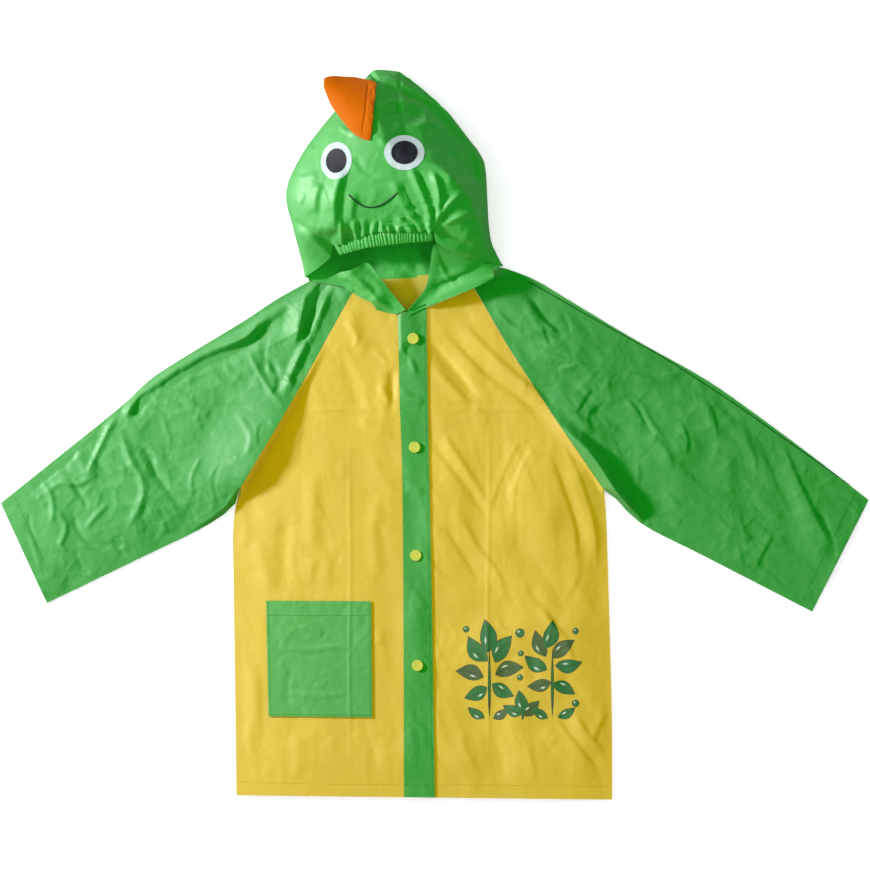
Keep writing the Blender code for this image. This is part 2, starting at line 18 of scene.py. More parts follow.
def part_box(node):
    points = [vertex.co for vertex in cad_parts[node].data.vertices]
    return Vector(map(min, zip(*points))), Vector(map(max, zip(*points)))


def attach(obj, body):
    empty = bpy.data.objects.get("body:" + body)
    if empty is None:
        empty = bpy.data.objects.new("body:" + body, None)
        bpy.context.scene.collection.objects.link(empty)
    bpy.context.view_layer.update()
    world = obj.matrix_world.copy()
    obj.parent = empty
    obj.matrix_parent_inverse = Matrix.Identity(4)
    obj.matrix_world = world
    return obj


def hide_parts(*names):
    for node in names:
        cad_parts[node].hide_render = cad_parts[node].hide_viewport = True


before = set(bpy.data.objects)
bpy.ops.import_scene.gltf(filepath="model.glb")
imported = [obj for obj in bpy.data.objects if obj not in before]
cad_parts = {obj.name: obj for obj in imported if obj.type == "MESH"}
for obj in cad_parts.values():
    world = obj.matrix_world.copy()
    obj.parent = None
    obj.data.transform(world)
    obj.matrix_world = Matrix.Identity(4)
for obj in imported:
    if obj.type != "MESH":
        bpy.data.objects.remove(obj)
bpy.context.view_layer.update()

bl_info = {
    "name": "Child's Raincoat",
    "version": (1, 0, 0),
    "blender": (4, 5, 0),
    "location": "View3D > Sidebar > Raincoat",
    "description": "Vinyl panels, hood, trim, stitches and studio for a raincoat laid flat",
    "category": "Object",
}

MM = 0.001
DOWN = Vector((0, 0, -1))
SKY = 0.5  # metres; height from which rays are sent down
WHITE = (1.0, 1.0, 1.0, 1.0)

FILM = 0.8  # visible thickness of one layer of vinyl
WALL = 1.0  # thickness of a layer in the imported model
REST_GAP = 0.4  # least space between the back and a layer on it
SEAM_RISE = 0.3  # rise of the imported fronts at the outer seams
PUFF_FULL = 2.2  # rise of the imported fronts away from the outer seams
CREASES_WHOLE, FOLDS_WHOLE = 0.35, 0.12  # shares of that rise where they reach their full height
RUN_OUT = 0.25  # share of a crease's length over which each of its ends runs out
CREASE_TENT, FOLD_TENT = 1.2, 1.5  # how hollow the flanks of a crisp crease or high fold are
HEM_Y, HEM_DEPTH = -392, 45  # where the film lies flat at the hem, and how far up it is held
PLACKET_TOP, PLACKET_REACH = 114, 5  # where the placket's top end starts, and how far it runs on
FLOOR_UNEVEN = 0.2  # height of the waves in a panel on the floor
SEAM_REACH = 1.6  # how far the edges of two sheets may lie apart where they meet
FRONT_CELL, SLEEVE_CELL, TRIM_CELL = 1.9, 1.45, 1.4  # width of a panel's finest squares
DICE = 12  # width of the squares of a panel on the floor
SHARP_TURN = 62  # degrees; a packed sheet's outer face ends at such an edge
FLAT_CORNER = 146  # degrees; an outline's corners below this stay sharp
DRAWN = 64  # size of the table of draws behind the even noise
CRUMPLE_SPAN = 1400  # width of a crumpled sheet, more than that of the coat
SEAM_DEPTH, SEAM_WIDTH = 0.9, 2.2  # dip along the seam on top of the hood
BRIM_PULL = 1.8  # how far hood and casing are drawn towards each other
NECK_BAND, NECK_TUCK = 4, 2.4  # width of the hood's neck edge, and how far it is tucked under
CAP_SIDES, CAP_ROUND = 48, 0.5  # sides of a snap cap, and rounding of its rim
PATCH_RINGS, PATCH_SPOKES, PATCH_FILM = 12, 64, 0.3  # grid of an eye patch, and its thickness
CASING_MIDDLE, CASING_SPREAD = -55, 1.05  # x that the casing is widened from, and how much
CRINKLE_DEPTH = 0.0009  # metres

# Studio, in metres and degrees: turn and rise of the low light, and the width that is seen
KEY_TURN, KEY_RISE, KEY_DISTANCE, KEY_SIZE, KEY_POWER = 164.0, 23.0, 2.3, 0.30, 50.0
FLOOR_SIZE, FLOOR_LEVEL, FLOOR_GLOW = 14.0, -0.0004, 0.42
VIEW_WIDTH = 0.9396

# Surfaces that later pieces lie on, by the name of their piece
SURFACES = {}
FRONTS = ("right_front", "left_front")
SLEEVES = ("right_sleeve_front", "left_sleeve_front")
HOOD_HALVES = ("right_hood_half", "left_hood_half")

# Raglan seams: x at two heights on the coat, and the width over which creases change there
SEAM_HEIGHTS, SEAM_BLEND = (-60, 160), 16
RAGLAN_SEAMS = {"right": (-210, -86), "left": (190, 52)}

# Creases of the laid-out layers: height (a trough is negative), width of the left
# flank and of the right one as one goes along the line, crispness from 0 to 1, the
# line, and, where it differs, the width at the line's end as a share of that at its start
SLEEVE_RIGHT_CREASES = (
    (8.5, 10, 13, 0.75, ((-140, 158), (-158, 145), (-188, 124), (-204, 106), (-239, 94), (-275, 75),
      (-318, 47), (-344, 22))),
    (-3, 12, 10, 0.3, ((-160, 122), (-190, 108), (-210, 92), (-245, 80), (-280, 62), (-306, 42))),
    (6, 9, 8, 0.8, ((-306, 60), (-322, 44), (-331, 26), (-333, 16))),
    (-4, 9, 8, 0.5, ((-306, 46), (-318, 34), (-324, 18))),
    (2.5, 6.2, 5, 1, ((-340, 32), (-355, 0), (-367, -25), (-378, -50))),
    (-1.6, 5.6, 12.4, 0.45, ((-344, 30), (-372, -2), (-395, -26), (-426, -52), (-440, -70))),
    (2.3, 6.8, 6.8, 0.85, ((-342, 12), (-328, -28), (-317, -46), (-316, -72), (-336, -108))),
    (-1.7, 5, 5.6, 0.85, ((-396, -44), (-384, -62), (-372, -80))),
    (1.9, 5.6, 5.6, 0.95, ((-430, -46), (-416, -62), (-412, -84), (-416, -100))),
    (1.7, 5.6, 5.6, 0.95, ((-424, -62), (-402, -52), (-385, -53), (-360, -40))),
    (1.6, 5, 5.6, 0.95, ((-412, -80), (-398, -98), (-406, -124))),
    (1.4, 5, 5, 0.95, ((-350, -72), (-366, -88), (-378, -104))),
    (-1.4, 5.6, 5.6, 0.75, ((-392, -80), (-384, -104), (-366, -120), (-344, -118))),
    (-1.6, 7.4, 7.4, 0.65, ((-322, 12), (-308, -26), (-292, -54), (-268, -84), (-250, -90))),
    (-0.7, 5.6, 5.6, 0.45, ((-280, 53), (-245, 31), (-214, 31), (-178, 20))),
    (1.1, 6.2, 5.6, 0.55, ((-216, 26), (-199, 0), (-204, -28))),
    (1.9, 5.6, 5, 0.95, ((-202, 92), (-190, 68), (-176, 46), (-162, 32))),
    (-1.6, 5, 5, 0.85, ((-178, 84), (-168, 58), (-176, 38))),
    (1.7, 5, 5.6, 0.95, ((-176, 66), (-160, 62), (-152, 48))),
    (0.6, 3, 3, 1, ((-198, 86), (-128, 121))),
    (4, 8, 7, 0.6, ((-108, 178), (-128, 124), (-140, 97), (-155, 66), (-166, 32))),
    (-5, 10, 9, 0.4, ((-108, 176), (-124, 152), (-134, 122), (-142, 96))),
    (7, 9, 18, 0.7, ((-122, 180), (-138, 154), (-143, 134), (-147, 112), (-154, 92))),
    (1.1, 4.3, 4.3, 0.65, ((-250, -20), (-262, -44), (-262, -66))),
    (0.7, 5, 5, 0.55, ((-296, 20), (-286, -4), (-288, -28))),
    (-0.7, 4.3, 4.3, 0.55, ((-232, -30), (-238, -55), (-230, -78))),
    (0.6, 3.7, 3.7, 0.75, ((-352, -118), (-368, -122), (-388, -118))),
    (0.9, 5, 5, 0.45, ((-440, -100), (-430, -128), (-424, -150))),
)
SLEEVE_LEFT_CREASES = (
    (-1.5, 9, 4.2, 0.85, ((94, 165), (104, 148), (113, 132))),
    (3.1, 3.9, 10.4, 0.85, ((97, 146), (113, 126), (136, 106))),
    (-1.3, 8, 4, 0.7, ((118, 118), (122, 104), (126, 96))),
    (1.7, 4.6, 12, 0.85, ((62, 140), (80, 120), (96, 112), (120, 110))),
    (2, 3.9, 17.6, 0.85, ((102, 97), (150, 78), (200, 68), (262, 50))),
    (1.7, 11, 41.1, 0.85, ((82, 92), (130, 96), (180, 96), (226, 74))),
    (1.3, 3.4, 10.3, 0.95, ((190, 76), (232, 62), (284, 74))),
    (-1.1, 11.4, 4.9, 0.6, ((120, 78), (170, 60), (236, 40))),
    (1.6, 3.9, 14.5, 0.9, ((170, 52), (160, 38), (150, 20))),
    (1.5, 3.9, 14.5, 0.9, ((187, 36), (172, 30), (164, 16), (172, 0))),
    (1.6, 3.4, 10.3, 0.85, ((206, 40), (220, 22), (228, 8))),
    (1.4, 3.4, 10.3, 0.85, ((262, 20), (272, -4), (270, -24))),
    (1.4, 4.6, 13.3, 0.85, ((228, 6), (248, -14), (258, -40))),
    (1.3, 3.9, 10.3, 0.85, ((286, 44), (300, 20), (306, -10))),
    (-0.9, 10.2, 5.4, 0.6, ((206, 22), (260, 4), (320, -22), (366, -60))),
    (2.2, 5.1, 20.7, 0.85, ((372, -2), (388, -42), (408, -84), (432, -128))),
    (-1.1, 13.5, 6.1, 0.6, ((350, -4), (368, -44), (390, -92))),
    (1.2, 3.9, 10.3, 0.85, ((300, -84), (322, -104), (350, -112))),
    (1, 3.9, 10.3, 0.85, ((246, -56), (262, -76), (282, -86))),
    (1.3, 3.9, 12, 0.85, ((366, -104), (352, -130), (346, -146))),
    (-0.7, 9.1, 4.9, 0.6, ((262, -40), (300, -54), (340, -80))),
    (1, 4.6, 12, 0.85, ((330, 10), (344, -22), (348, -52))),
    (0.9, 3.2, 3.2, 1, ((410, -62), (440, -72), (462, -88))),
)
FRONT_RIGHT_CREASES = (
    (1.2, 5, 5, 0.8, ((-68, 89), (-57, 84), (-50, 73))),
    (-1.2, 6, 8, 0.5, ((-44, 70), (-45, 52), (-47, 36))),
    (1.4, 6, 7, 0.6, ((-62, 54), (-53, 44), (-48, 32))),
    (1, 5, 5, 0.7, ((-98, 122), (-88, 114), (-84, 102), (-88, 92))),
    (0.8, 12, 8, 0.4, ((-58, 78), (-56, 46), (-56, 16), (-60, -10))),
    (-0.9, 7, 7, 0.4, ((-46, 76), (-46, 46), (-46, 18))),
    (1, 9, 9, 0.3, ((-84, 20), (-62, 6), (-42, -4))),
    (1.3, 12, 12, 0.3, ((-92, 140), (-84, 108), (-72, 84))),
    (-1, 12, 12, 0.2, ((-110, 96), (-90, 60), (-80, 20))),
    (1.1, 14, 14, 0.2, ((-128, -30), (-132, -80), (-128, -130))),
    (1.2, 12, 12, 0.3, ((-196, -110), (-184, -140), (-176, -172))),
    (-1, 12, 12, 0.2, ((-160, -80), (-164, -130), (-158, -176))),
    (1, 12, 12, 0.2, ((-60, -60), (-66, -110), (-58, -160))),
    (1.1, 12, 12, 0.3, ((-198, -240), (-194, -290), (-200, -350))),
    (0.9, 12, 12, 0.2, ((-150, -318), (-146, -350), (-152, -380))),
    (-0.7, 12, 12, 0.2, ((-60, -320), (-66, -350), (-60, -382))),
    (0.6, 3, 3, 1, ((-91, 20), (-92, -60), (-91, -140), (-92, -240), (-91, -384))),
    (0.6, 3, 3, 1, ((-150, 26), (-90, 28), (-40, 27))),
)
FRONT_LEFT_CREASES = (
    (-2.6, 6.5, 12, 0.7, ((-6, 102), (6, 88), (19, 74), (38, 50), (50, 36))),
    (2, 6.4, 11.3, 0.7, ((22, 128), (44, 104), (76, 72), (112, 42), (134, 16))),
    (-1.9, 10.4, 6, 0.65, ((6, 120), (28, 96), (62, 62), (100, 34), (120, 8))),
    (1.5, 5, 10.4, 0.65, ((-2, 74), (20, 50), (40, 30))),
    (1.7, 6.4, 11.3, 0.7, ((2, 8), (22, -20), (42, -52), (62, -84))),
    (-1.5, 12.4, 6, 0.65, ((-2, -6), (18, -34), (40, -62), (60, -96))),
    (0.8, 3.8, 10.7, 0.95, ((98, 8), (82, -24), (66, -60), (58, -92))),
    (0.7, 3.8, 9.5, 0.95, ((112, -6), (92, -40), (84, -78), (88, -112))),
    (-0.7, 10.7, 5.1, 0.75, ((104, -2), (90, -34), (74, -66))),
    (1.5, 4.4, 12.4, 0.85, ((132, 2), (150, -34), (162, -66), (172, -100), (176, -150))),
    (-1.5, 11.3, 4.4, 0.65, ((126, -20), (140, -56), (154, -100), (158, -150))),
    (1.2, 5, 10.4, 0.65, ((28, -88), (46, -122), (66, -148), (78, -182))),
    (-1.1, 9.2, 4.4, 0.65, ((10, -96), (30, -128), (50, -160))),
    (1.3, 4.4, 10.4, 0.75, ((112, -182), (128, -206), (142, -222), (150, -250))),
    (-1.2, 10.4, 6, 0.65, ((96, -160), (122, -190), (140, -212))),
    (-1.5, 12.4, 4.4, 0.75, ((128, -296), (150, -326), (180, -364))),
    (1.5, 4.4, 12.4, 0.85, ((150, -300), (166, -326), (186, -344))),
    (1.2, 4, 10.4, 0.75, ((188, -296), (176, -316), (170, -334))),
    (0.8, 4.4, 9.2, 0.65, ((28, -316), (36, -346), (52, -372))),
    (0.8, 5, 10.4, 0.65, ((100, -330), (104, -352), (110, -378))),
    (0.9, 3, 6.2, 0.95, ((64, -196), (78, -212), (98, -220))),
    (0.7, 2.7, 2.7, 1, ((58, 30), (59, -30), (58, -100), (57, -200), (58, -300), (58, -380))),
    (0.7, 2.7, 2.7, 1, ((2, 27), (60, 28), (120, 26))),
)
PLACKET_CREASES = (
    (2.6, 26, 3, 0.9, ((-37, 156), (-37, 118), (-36, 80))),
    (-2.2, 12, 7, 0.9, ((-40, 72), (-33, 81), (-14, 102), (-4, 114))),
    (1.5, 5, 6, 0.8, ((-38, 96), (-31, 87), (-24, 76), (-20, 62))),
    (-1.6, 4, 5, 0.7, ((-30, 96), (-25, 88), (-12, 92))),
    (1.3, 6, 9, 0.6, ((-38, 52), (-26, 40), (-10, 34))),
    (-1.1, 7, 7, 0.5, ((-36, 30), (-24, 18), (-8, 10))),
    (0.9, 8, 8, 0.5, ((-36, -40), (-24, -56), (-8, -62))),
    (-0.8, 7, 7, 0.5, ((-34, -90), (-20, -98), (-6, -110))),
    (0.9, 6, 8, 0.6, ((-34, -160), (-22, -170), (-8, -190))),
    (-0.9, 7, 7, 0.5, ((-32, -210), (-20, -226), (-6, -232))),
    (0.8, 6, 6, 0.6, ((-32, -300), (-18, -312), (-4, -330))),
)
# Ridge of the left front along the placket's edge
PLACKET_SIDE = (
    (1.3, 3, 12, 0.2, ((-8.5, 340), (-8, 140), (-8.1, 60), (-6.8, 0), (-4.7, -100), (-2.6, -250),
      (0.5, -590))),
)
POCKET_CREASES = (
    (0.9, 5, 6, 0.7, ((-172, -226), (-140, -232), (-100, -228), (-78, -236))),
    (-0.8, 5, 5, 0.6, ((-168, -248), (-136, -252), (-104, -246))),
    (0.8, 5, 5, 0.7, ((-150, -206), (-128, -212), (-112, -222))),
    (-0.8, 4, 4, 0.7, ((-128, -196), (-118, -210), (-124, -224))),
    (0.8, 5, 6, 0.6, ((-160, -276), (-128, -282), (-90, -278))),
    (-0.7, 5, 5, 0.6, ((-146, -292), (-110, -296), (-82, -290))),
)
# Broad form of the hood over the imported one: the ridge and the side that falls away
HOOD_FORM = (
    (6, 14, 42, 0.8, ((2, 296), (14, 280), (33, 260), (46, 234), (54, 206), (60, 184))),
    (10.6, 21, 64, 0.85, ((-66, 400), (-62, 360), (-58, 330), (-44, 306), (-12, 294), (12, 280),
      (33, 260), (44, 236), (50, 216), (56, 192))),
    (-8, 17, 30, 0.1, ((-38, 398), (-16, 362), (4, 340), (20, 320), (36, 296), (45, 270), (51, 244),
      (56, 214), (62, 186))),
)
# Creases of the hood, along its own surface
HOOD_CREASES = (
    (5.6, 6, 13, 0.85, ((-95, 288), (-104, 264), (-107, 242), (-106, 214)), 1.5),
    (2.6, 4, 10, 0.85, ((-122, 270), (-127, 252), (-128, 236)), 1.4),
    (1.3, 4.5, 7, 0.95, ((-150, 262), (-142, 240), (-124, 224), (-98, 216))),
    (1.1, 4, 6, 0.95, ((-136, 262), (-124, 266), (-116, 252), (-114, 232))),
    (2.2, 4, 9, 0.85, ((-84, 262), (-88, 246), (-90, 226)), 1.3),
    (-2.2, 6.3, 6.3, 0.65, ((-154, 232), (-130, 215), (-108, 207))),
    (1, 4, 6, 0.85, ((-154, 280), (-140, 276), (-124, 282))),
    (5.4, 5.4, 6.6, 0.95, ((-44, 276), (-36, 254), (-26, 236), (-16, 222)), 0.5),
    (5.4, 5.4, 6.6, 0.95, ((-28, 290), (-17, 266), (-8, 244), (-2, 224)), 0.5),
    (5.4, 5.4, 6.6, 0.95, ((-4, 286), (3, 262), (4, 242), (0, 222)), 0.5),
    (4.2, 5.8, 7, 0.95, ((34, 262), (18, 250), (6, 236), (0, 224)), 0.5),
    (3.6, 5.8, 7, 0.95, ((46, 240), (28, 234), (8, 224)), 0.6),
    (-2, 4.2, 4.2, 0.75, ((-38, 270), (-30, 250), (-20, 232)), 0.6),
    (-2, 4.2, 4.2, 0.75, ((-18, 284), (-12, 262), (-5, 240)), 0.6),
    (2.5, 6.3, 8.4, 0.75, ((-62, 384), (-44, 382), (-20, 370), (0, 350))),
    (-2.2, 6.3, 6.3, 0.65, ((-60, 374), (-40, 370), (-16, 360), (-4, 346))),
    (2, 6.3, 6.3, 0.85, ((-62, 352), (-38, 358), (-14, 350))),
    (-1.7, 6.3, 6.3, 0.65, ((-58, 342), (-36, 346), (-10, 338))),
    (2.2, 7, 8.4, 0.85, ((-50, 334), (-26, 330), (-4, 334), (14, 322))),
    (1.7, 6.3, 6.3, 0.75, ((-74, 316), (-60, 318), (-52, 306))),
    (2.8, 5, 12, 0.85, ((-44, 380), (-34, 362), (-30, 334))),
    (3, 5, 12, 0.85, ((-18, 364), (-10, 344), (-14, 322))),
    (2.4, 4.5, 10, 0.85, ((-48, 354), (-40, 336), (-42, 318))),
    (2.2, 4.5, 9, 0.85, ((18, 314), (28, 296), (30, 276))),
    (1.4, 4.9, 4.9, 0.85, ((-104, 332), (-92, 324), (-80, 322))),
    (1.4, 5.6, 5.6, 0.65, ((20, 318), (34, 296), (40, 276))),
    (-1.4, 5.6, 5.6, 0.65, ((-86, 300), (-76, 284), (-58, 276))),
    (0.6, 2.5, 2.5, 1, ((-43, 286), (-42.5, 264))),
    (1.1, 5.6, 5.6, 0.75, ((-130, 316), (-140, 296), (-146, 276))),
    (1.7, 6.3, 6.3, 0.75, ((-140, 216), (-126, 206), (-112, 194))),
    (-1.7, 5.6, 5.6, 0.65, ((2, 216), (22, 208), (44, 202))),
    (2, 6.3, 6.3, 0.85, ((2, 208), (26, 198), (50, 192))),
    (-2.8, 4.2, 4.2, 0.75, ((-72, 392), (-64, 384), (-62, 374))),
)
# Creases of the hood's lowest layer, seen through the opening
INNER_CREASES = (
    (4, 7, 14, 0.7, ((-126, 166), (-102, 182), (-76, 190), (-62, 186))),
    (2.4, 2, 12, 0.9, ((-27.5, 220), (-27, 196), (-26, 170))),
    (3, 9, 8, 0.6, ((-22, 206), (-14, 190), (-10, 172))),
    (3, 8, 14, 0.5, ((-66, 212), (-54, 194), (-48, 174))),
    (2, 8, 10, 0.5, ((-40, 208), (-36, 192), (-34, 176))),
)
CREST_CREASES = (
    (-1.3, 2.2, 2.2, 0.9, ((-71.5, 386), (-72.5, 366), (-74.5, 344), (-78.5, 316))),
    (0.7, 2, 2, 0.8, ((-70, 378), (-66, 372), (-64, 362))),
    (0.7, 2, 2, 0.8, ((-72, 360), (-68, 352), (-66, 342))),
    (0.6, 2, 2, 0.8, ((-74, 344), (-70, 336), (-68, 326))),
)
FLAP_RIGHT_CREASES = (
    (9, 15, 18, 0.75, ((-106, 186), (-95, 182), (-78, 166), (-62, 149), (-48, 136))),
    (2.4, 6, 6, 0.6, ((-104, 172), (-88, 168), (-72, 158))),
    (-2.4, 6, 6, 0.5, ((-92, 176), (-72, 166), (-58, 150))),
    (1.8, 5, 5, 0.6, ((-70, 150), (-56, 142), (-44, 134))),
)
FLAP_LEFT_CREASES = (
    (-3.4, 9, 9, 0.9, ((-12, 151), (-4, 156), (20, 166), (46, 178), (60, 182))),
    (2.2, 6, 6, 0.6, ((0, 164), (20, 172), (42, 178))),
    (-2.2, 6, 6, 0.5, ((-4, 150), (14, 160), (32, 168))),
    (2, 5, 5, 0.6, ((6, 184), (12, 172), (18, 162))),
)

# Highest standing folds, which throw the long shadows: left flank, right flank,
# crispness, and points of the line with the height there
HIGH_FOLDS = (
    (9, 70, 0.15, ((-118, 100, 0), (-142, 57, 4), (-168, 12, 11), (-188, -22, 17), (-200, -42, 17),
      (-209, -56, 13), (-216, -68, 8))),
    (13, 15, 0.5, ((120, 34, 0), (133, 14, 4), (150, -3, 9), (171, -24, 14), (192, -56, 19),
      (206, -76, 17), (216, -88, 8))),
)

# Small scattered creases: box, count, seed and direction, then the least and the added
# length, width and height
SMALL_CREASES = {
    "right sleeve": ((-468, -182, -87, 165), 170, 201, -62, (16, 36), (2.6, 4.0), (0.3, 1.1)),
    "left sleeve": ((42, -191, 468, 180), 120, 202, -46, (22, 60), (2.8, 4.0), (0.3, 0.9)),
    "fronts": ((-218, -394, 191, 158), 110, 203, -74, (18, 70), (4.0, 8.0), (0.25, 0.6)),
    "hood": ((-160, 168, 62, 394), 90, 209, -110, (14, 30), (2.5, 4.5), (0.25, 0.8)),
}

BRIM_LINE = ((-108, 208), (-89, 213.5), (-70, 217.5), (-43.5, 220.5), (-23.5, 221.2), (-2, 221))
# Puckers of the brim: count, seed, then the least and the added length, width and height
PUCKERS = (
    (30, 12, (4, 8), (1.6, 1.2), (1.0, 1.2)),
    (13, 31, (14, 14), (3.4, 2.6), (3.0, 3.2)),
)
CASING_LINE = ((-104, 200), (-87, 205), (-70, 208.5), (-43.5, 212), (-24, 213), (-4, 214))
GATHERS = 30
NECK_LINE = ((-131, 167), (-54, 168.5), (-5, 173.5), (66, 180.5))
SMILE_LINE = (
    (-91.9, 256.8), (-85, 250.1), (-75.8, 244.6), (-67.5, 243.4), (-59.6, 244.9), (-50.4, 250.1),
    (-40, 258.8),
)

# Upper edge of the left flap, and how far each point of it moves to meet the brim
FLAP_LEFT_TUCK = (
    (-28.3, 134.9, 0, 0, 0),
    (-9, 158.3, 0, 0, 0),
    (-4.5, 174.5, -1, 5, 2),
    (4.5, 192, -4, 16, 6),
    (24.1, 185.5, -4, 13, 6),
    (42.4, 178, -2, 9, 8),
    (62, 175.1, 0, 8, 9),
)
# Lower edge of the left flap, and the level of the flap beside each point of it
FLAP_LEFT_FOOT = (
    (-27.8, 128.6, 7),
    (-7.2, 138.3, 9.5),
    (13.3, 146.1, 15),
    (27.3, 151.8, 19.5),
    (42.4, 157.8, 23.5),
    (54.3, 163.7, 24.5),
    (64, 169.5, 22),
)
# Weld along the upper edge of the left sleeve, where a dark cord on the real weld is the painted
# shade of its groove
LEFT_WELD_SHADE = (
    (101.4, 165.2), (136.4, 145.2), (171.4, 125.2), (207.4, 105.2), (243.4, 85.2), (273.4, 66.2),
    (303.4, 46.7), (332.4, 27.2), (363.4, 5.2), (393.4, -15.8), (423.4, -36.8), (452.4, -57.8),
)

# Printed sprigs on the left front: middle, turn in degrees, length, width, curl, olive
LEAVES = (
    (44, -233, 128, 34.6, 18.2, 0.1, 0),
    (58, -217, 96, 37, 18.2, -0.06, 0),
    (72, -230, 58, 34.6, 18.2, 0.08, 0),
    (38, -256, 168, 31.2, 16.7, -0.08, 1),
    (80, -252, 14, 32.3, 16.7, 0.1, 1),
    (45, -280, 206, 27.7, 15.2, 0.06, 0),
    (73, -277, -30, 27.7, 15.2, -0.06, 0),
    (112, -226, 112, 31.2, 15.2, 0.08, 1),
    (126, -216, 76, 32.3, 16.7, -0.08, 0),
    (138, -230, 40, 31.2, 15.2, 0.06, 1),
    (108, -248, 148, 28.9, 15.2, 0.08, 0),
    (145, -250, 8, 30, 15.2, -0.1, 0),
    (113, -271, 190, 26.6, 13.7, 0.06, 1),
    (140, -273, -26, 27.7, 13.7, 0.06, 0),
    (93, -288, 108, 25.4, 13.7, 0.08, 0),
    (104, -296, 38, 25.4, 13.7, -0.06, 1),
    (84, -298, 158, 24.3, 12.2, 0.06, 0),
    (44, -301, 148, 22, 10.5, 0.06, 0),
    (72, -302, 34, 20, 10, -0.06, 1),
    (113, -301, 144, 21, 10, 0.06, 0),
    (143, -301, 30, 22, 10.5, -0.06, 0),
)
# Stalks: from, to
STALKS = (((59, -303), (59, -232)), ((127, -303), (127, -232)), ((95, -308), (95, -290)))
STALK_WIDTH = 3.4
# Drops: middle, radius
DROPS = (
    (92, -214, 5), (93, -236, 3.2), (152, -212, 3.6), (34, -210, 3.6), (92, -262, 3.4),
    (152, -290, 4),
)

# Rows of stitches: name, pieces that they lie on, thread, line, and "sharp" to keep its corners
STITCH_ROWS = (
    ("hem_stitches_right", FRONTS, "Yellow thread", ((-213, -374.5), (-124, -377), (-38, -377.5))),
    ("hem_stitches_left", FRONTS, "Yellow thread", ((2, -377.5), (96, -378.5), (190, -379.5))),
    ("cuff_stitches_right", SLEEVES, "Green thread", ((-454.5, -66), (-429, -122), (-405, -175))),
    ("cuff_stitches_left", SLEEVES, "Green thread", ((454, -62), (424, -122), (394.5, -184))),
    ("placket_stitches", ["placket_strip"], "Green thread", ((-2.8, -388), (-6, -178), (-8.6, -46),
      (-11.2, 96), (-11.2, 122))),
    ("placket_hem_stitches", ["placket_strip"], "Green thread", ((-31, -377.8), (-4, -378))),
    ("pocket_hem_stitches", ["patch_pocket"], "Green thread", ((-180, -195), (-70.5, -195.3))),
    ("pocket_side_stitches", ["patch_pocket"], "Green thread", ((-179.8, -182), (-177.2, -301.8),
      (-69.8, -302.8), (-70.8, -182.5)), "sharp"),
)
# Rings of one stitch: place from end to end, thickness, and height over the film
STITCH_STATIONS = (
    (-1, 0.15, -0.25), (-0.7, 0.8, 0.1), (0, 1, 0.35), (0.7, 0.8, 0.1), (1, 0.15, -0.25),
)
# Steps of a snap cap towards its middle: width as a share of the radius, and rise
CAP_STEPS = ((0.20, 0.12), (0.16, -0.22), (0.30, 0.04))

# Looks of film: slot, colour or its setting, crinkle, and, where they differ, gloss, shine and coat
FILM_LOOKS = {
    "Yellow vinyl": ("yellow_vinyl", "body", 0.5),
    "Yellow vinyl, printed": ("yellow_vinyl", "body", 0.5),
    # Greener than the fronts' yellow all over: painted green light that the hood throws into the
    # neck
    "Yellow vinyl, inner side": ("yellow_vinyl", (0.74, 0.60, 0.008, 1.0), 0.5),
    "Sleeve vinyl": ("green_vinyl", "sleeve", 0.85),
    "Hood vinyl": ("green_vinyl", "hood", 0.85),
    # Lighter green than the hood's outside: painted light shining through the film
    "Hood vinyl, inner side": ("green_vinyl", (0.021, 0.570, 0.032, 1.0), 1.0),
    "Trim vinyl": ("green_vinyl", "trim", 0.7),
    "Pocket vinyl": ("green_vinyl", "trim", 0.9),
    "Crest vinyl": ("orange_vinyl", "crest", 0.3, 0.62, 0.03, 0.0),
}
# Lifts the red and blue of the trim green on the pocket: a painted sheen
POCKET_SHEEN_TINT = (4.3, 1.15, 3.9, 1.0)
PRINT_OUTLINE, PRINT_LIGHT = (0.022, 0.050, 0.012, 1.0), (0.62, 0.74, 0.55, 1.0)
# Other looks: slot, colour or its setting, roughness, scale and depth of the grain, change of tone
LOOKS = FILM_LOOKS | {
    "Snap cap": ("snap_plastic", "snap", 0.34, 900.0, 0.00004),
    "Eye ring": ("white_print", "eye_white", 0.42, 1200.0, 0.00005, 0.05),
    "Pupil": ("dark_print", "ink", 0.55, 1200.0, 0.00005, 0.15),
    "Smile thread": ("dark_print", (0.010, 0.045, 0.016, 1.0), 0.5, 2500.0, 0.0001),
    "Yellow thread": ("yellow_vinyl", (0.60, 0.44, 0.02, 1.0), 0.55, 3000.0, 0.0001),
    # Dark cord on the weld: painted shade of the weld's groove
    "Weld line": ("green_vinyl", (0.006, 0.11, 0.010, 1.0), 0.5, 2500.0, 0.0001),
    "Green thread": ("green_vinyl", (0.045, 0.26, 0.045, 1.0), 0.55, 3000.0, 0.0001),
}


# Sizes and colours that a user may change


def amount_of(name, text, value, **limits):
    return bpy.props.FloatProperty(name=name, description=text, min=0.0, default=value, **limits)


def length_of(name, text, value):
    return amount_of(name, text, value, subtype="DISTANCE", unit="LENGTH", precision=4)


def colour_of(name, text, value):
    return bpy.props.FloatVectorProperty(
        name=name, description=text, subtype="COLOR", size=4, min=0.0, max=1.0,
        default=(*value, 1.0),
    )


class RaincoatVinyl(bpy.types.PropertyGroup):
    body: colour_of("Body", "Yellow of the fronts and the back", (0.720, 0.515, 0.003))
    sleeve: colour_of("Sleeves", "Green of the sleeves", (0.008, 0.345, 0.012))
    hood: colour_of("Hood", "Green of the hood", (0.015, 0.430, 0.019))
    trim: colour_of("Trim", "Green of the placket and the pocket", (0.012, 0.355, 0.010))
    crest: colour_of("Crest", "Orange of the crest", (0.530, 0.115, 0.0003))
    thickness: length_of("Film", "Visible thickness of one layer", FILM * MM)
    crinkle: amount_of("Crinkle", "Depth of the fine crinkles", 1.0, max=3.0)


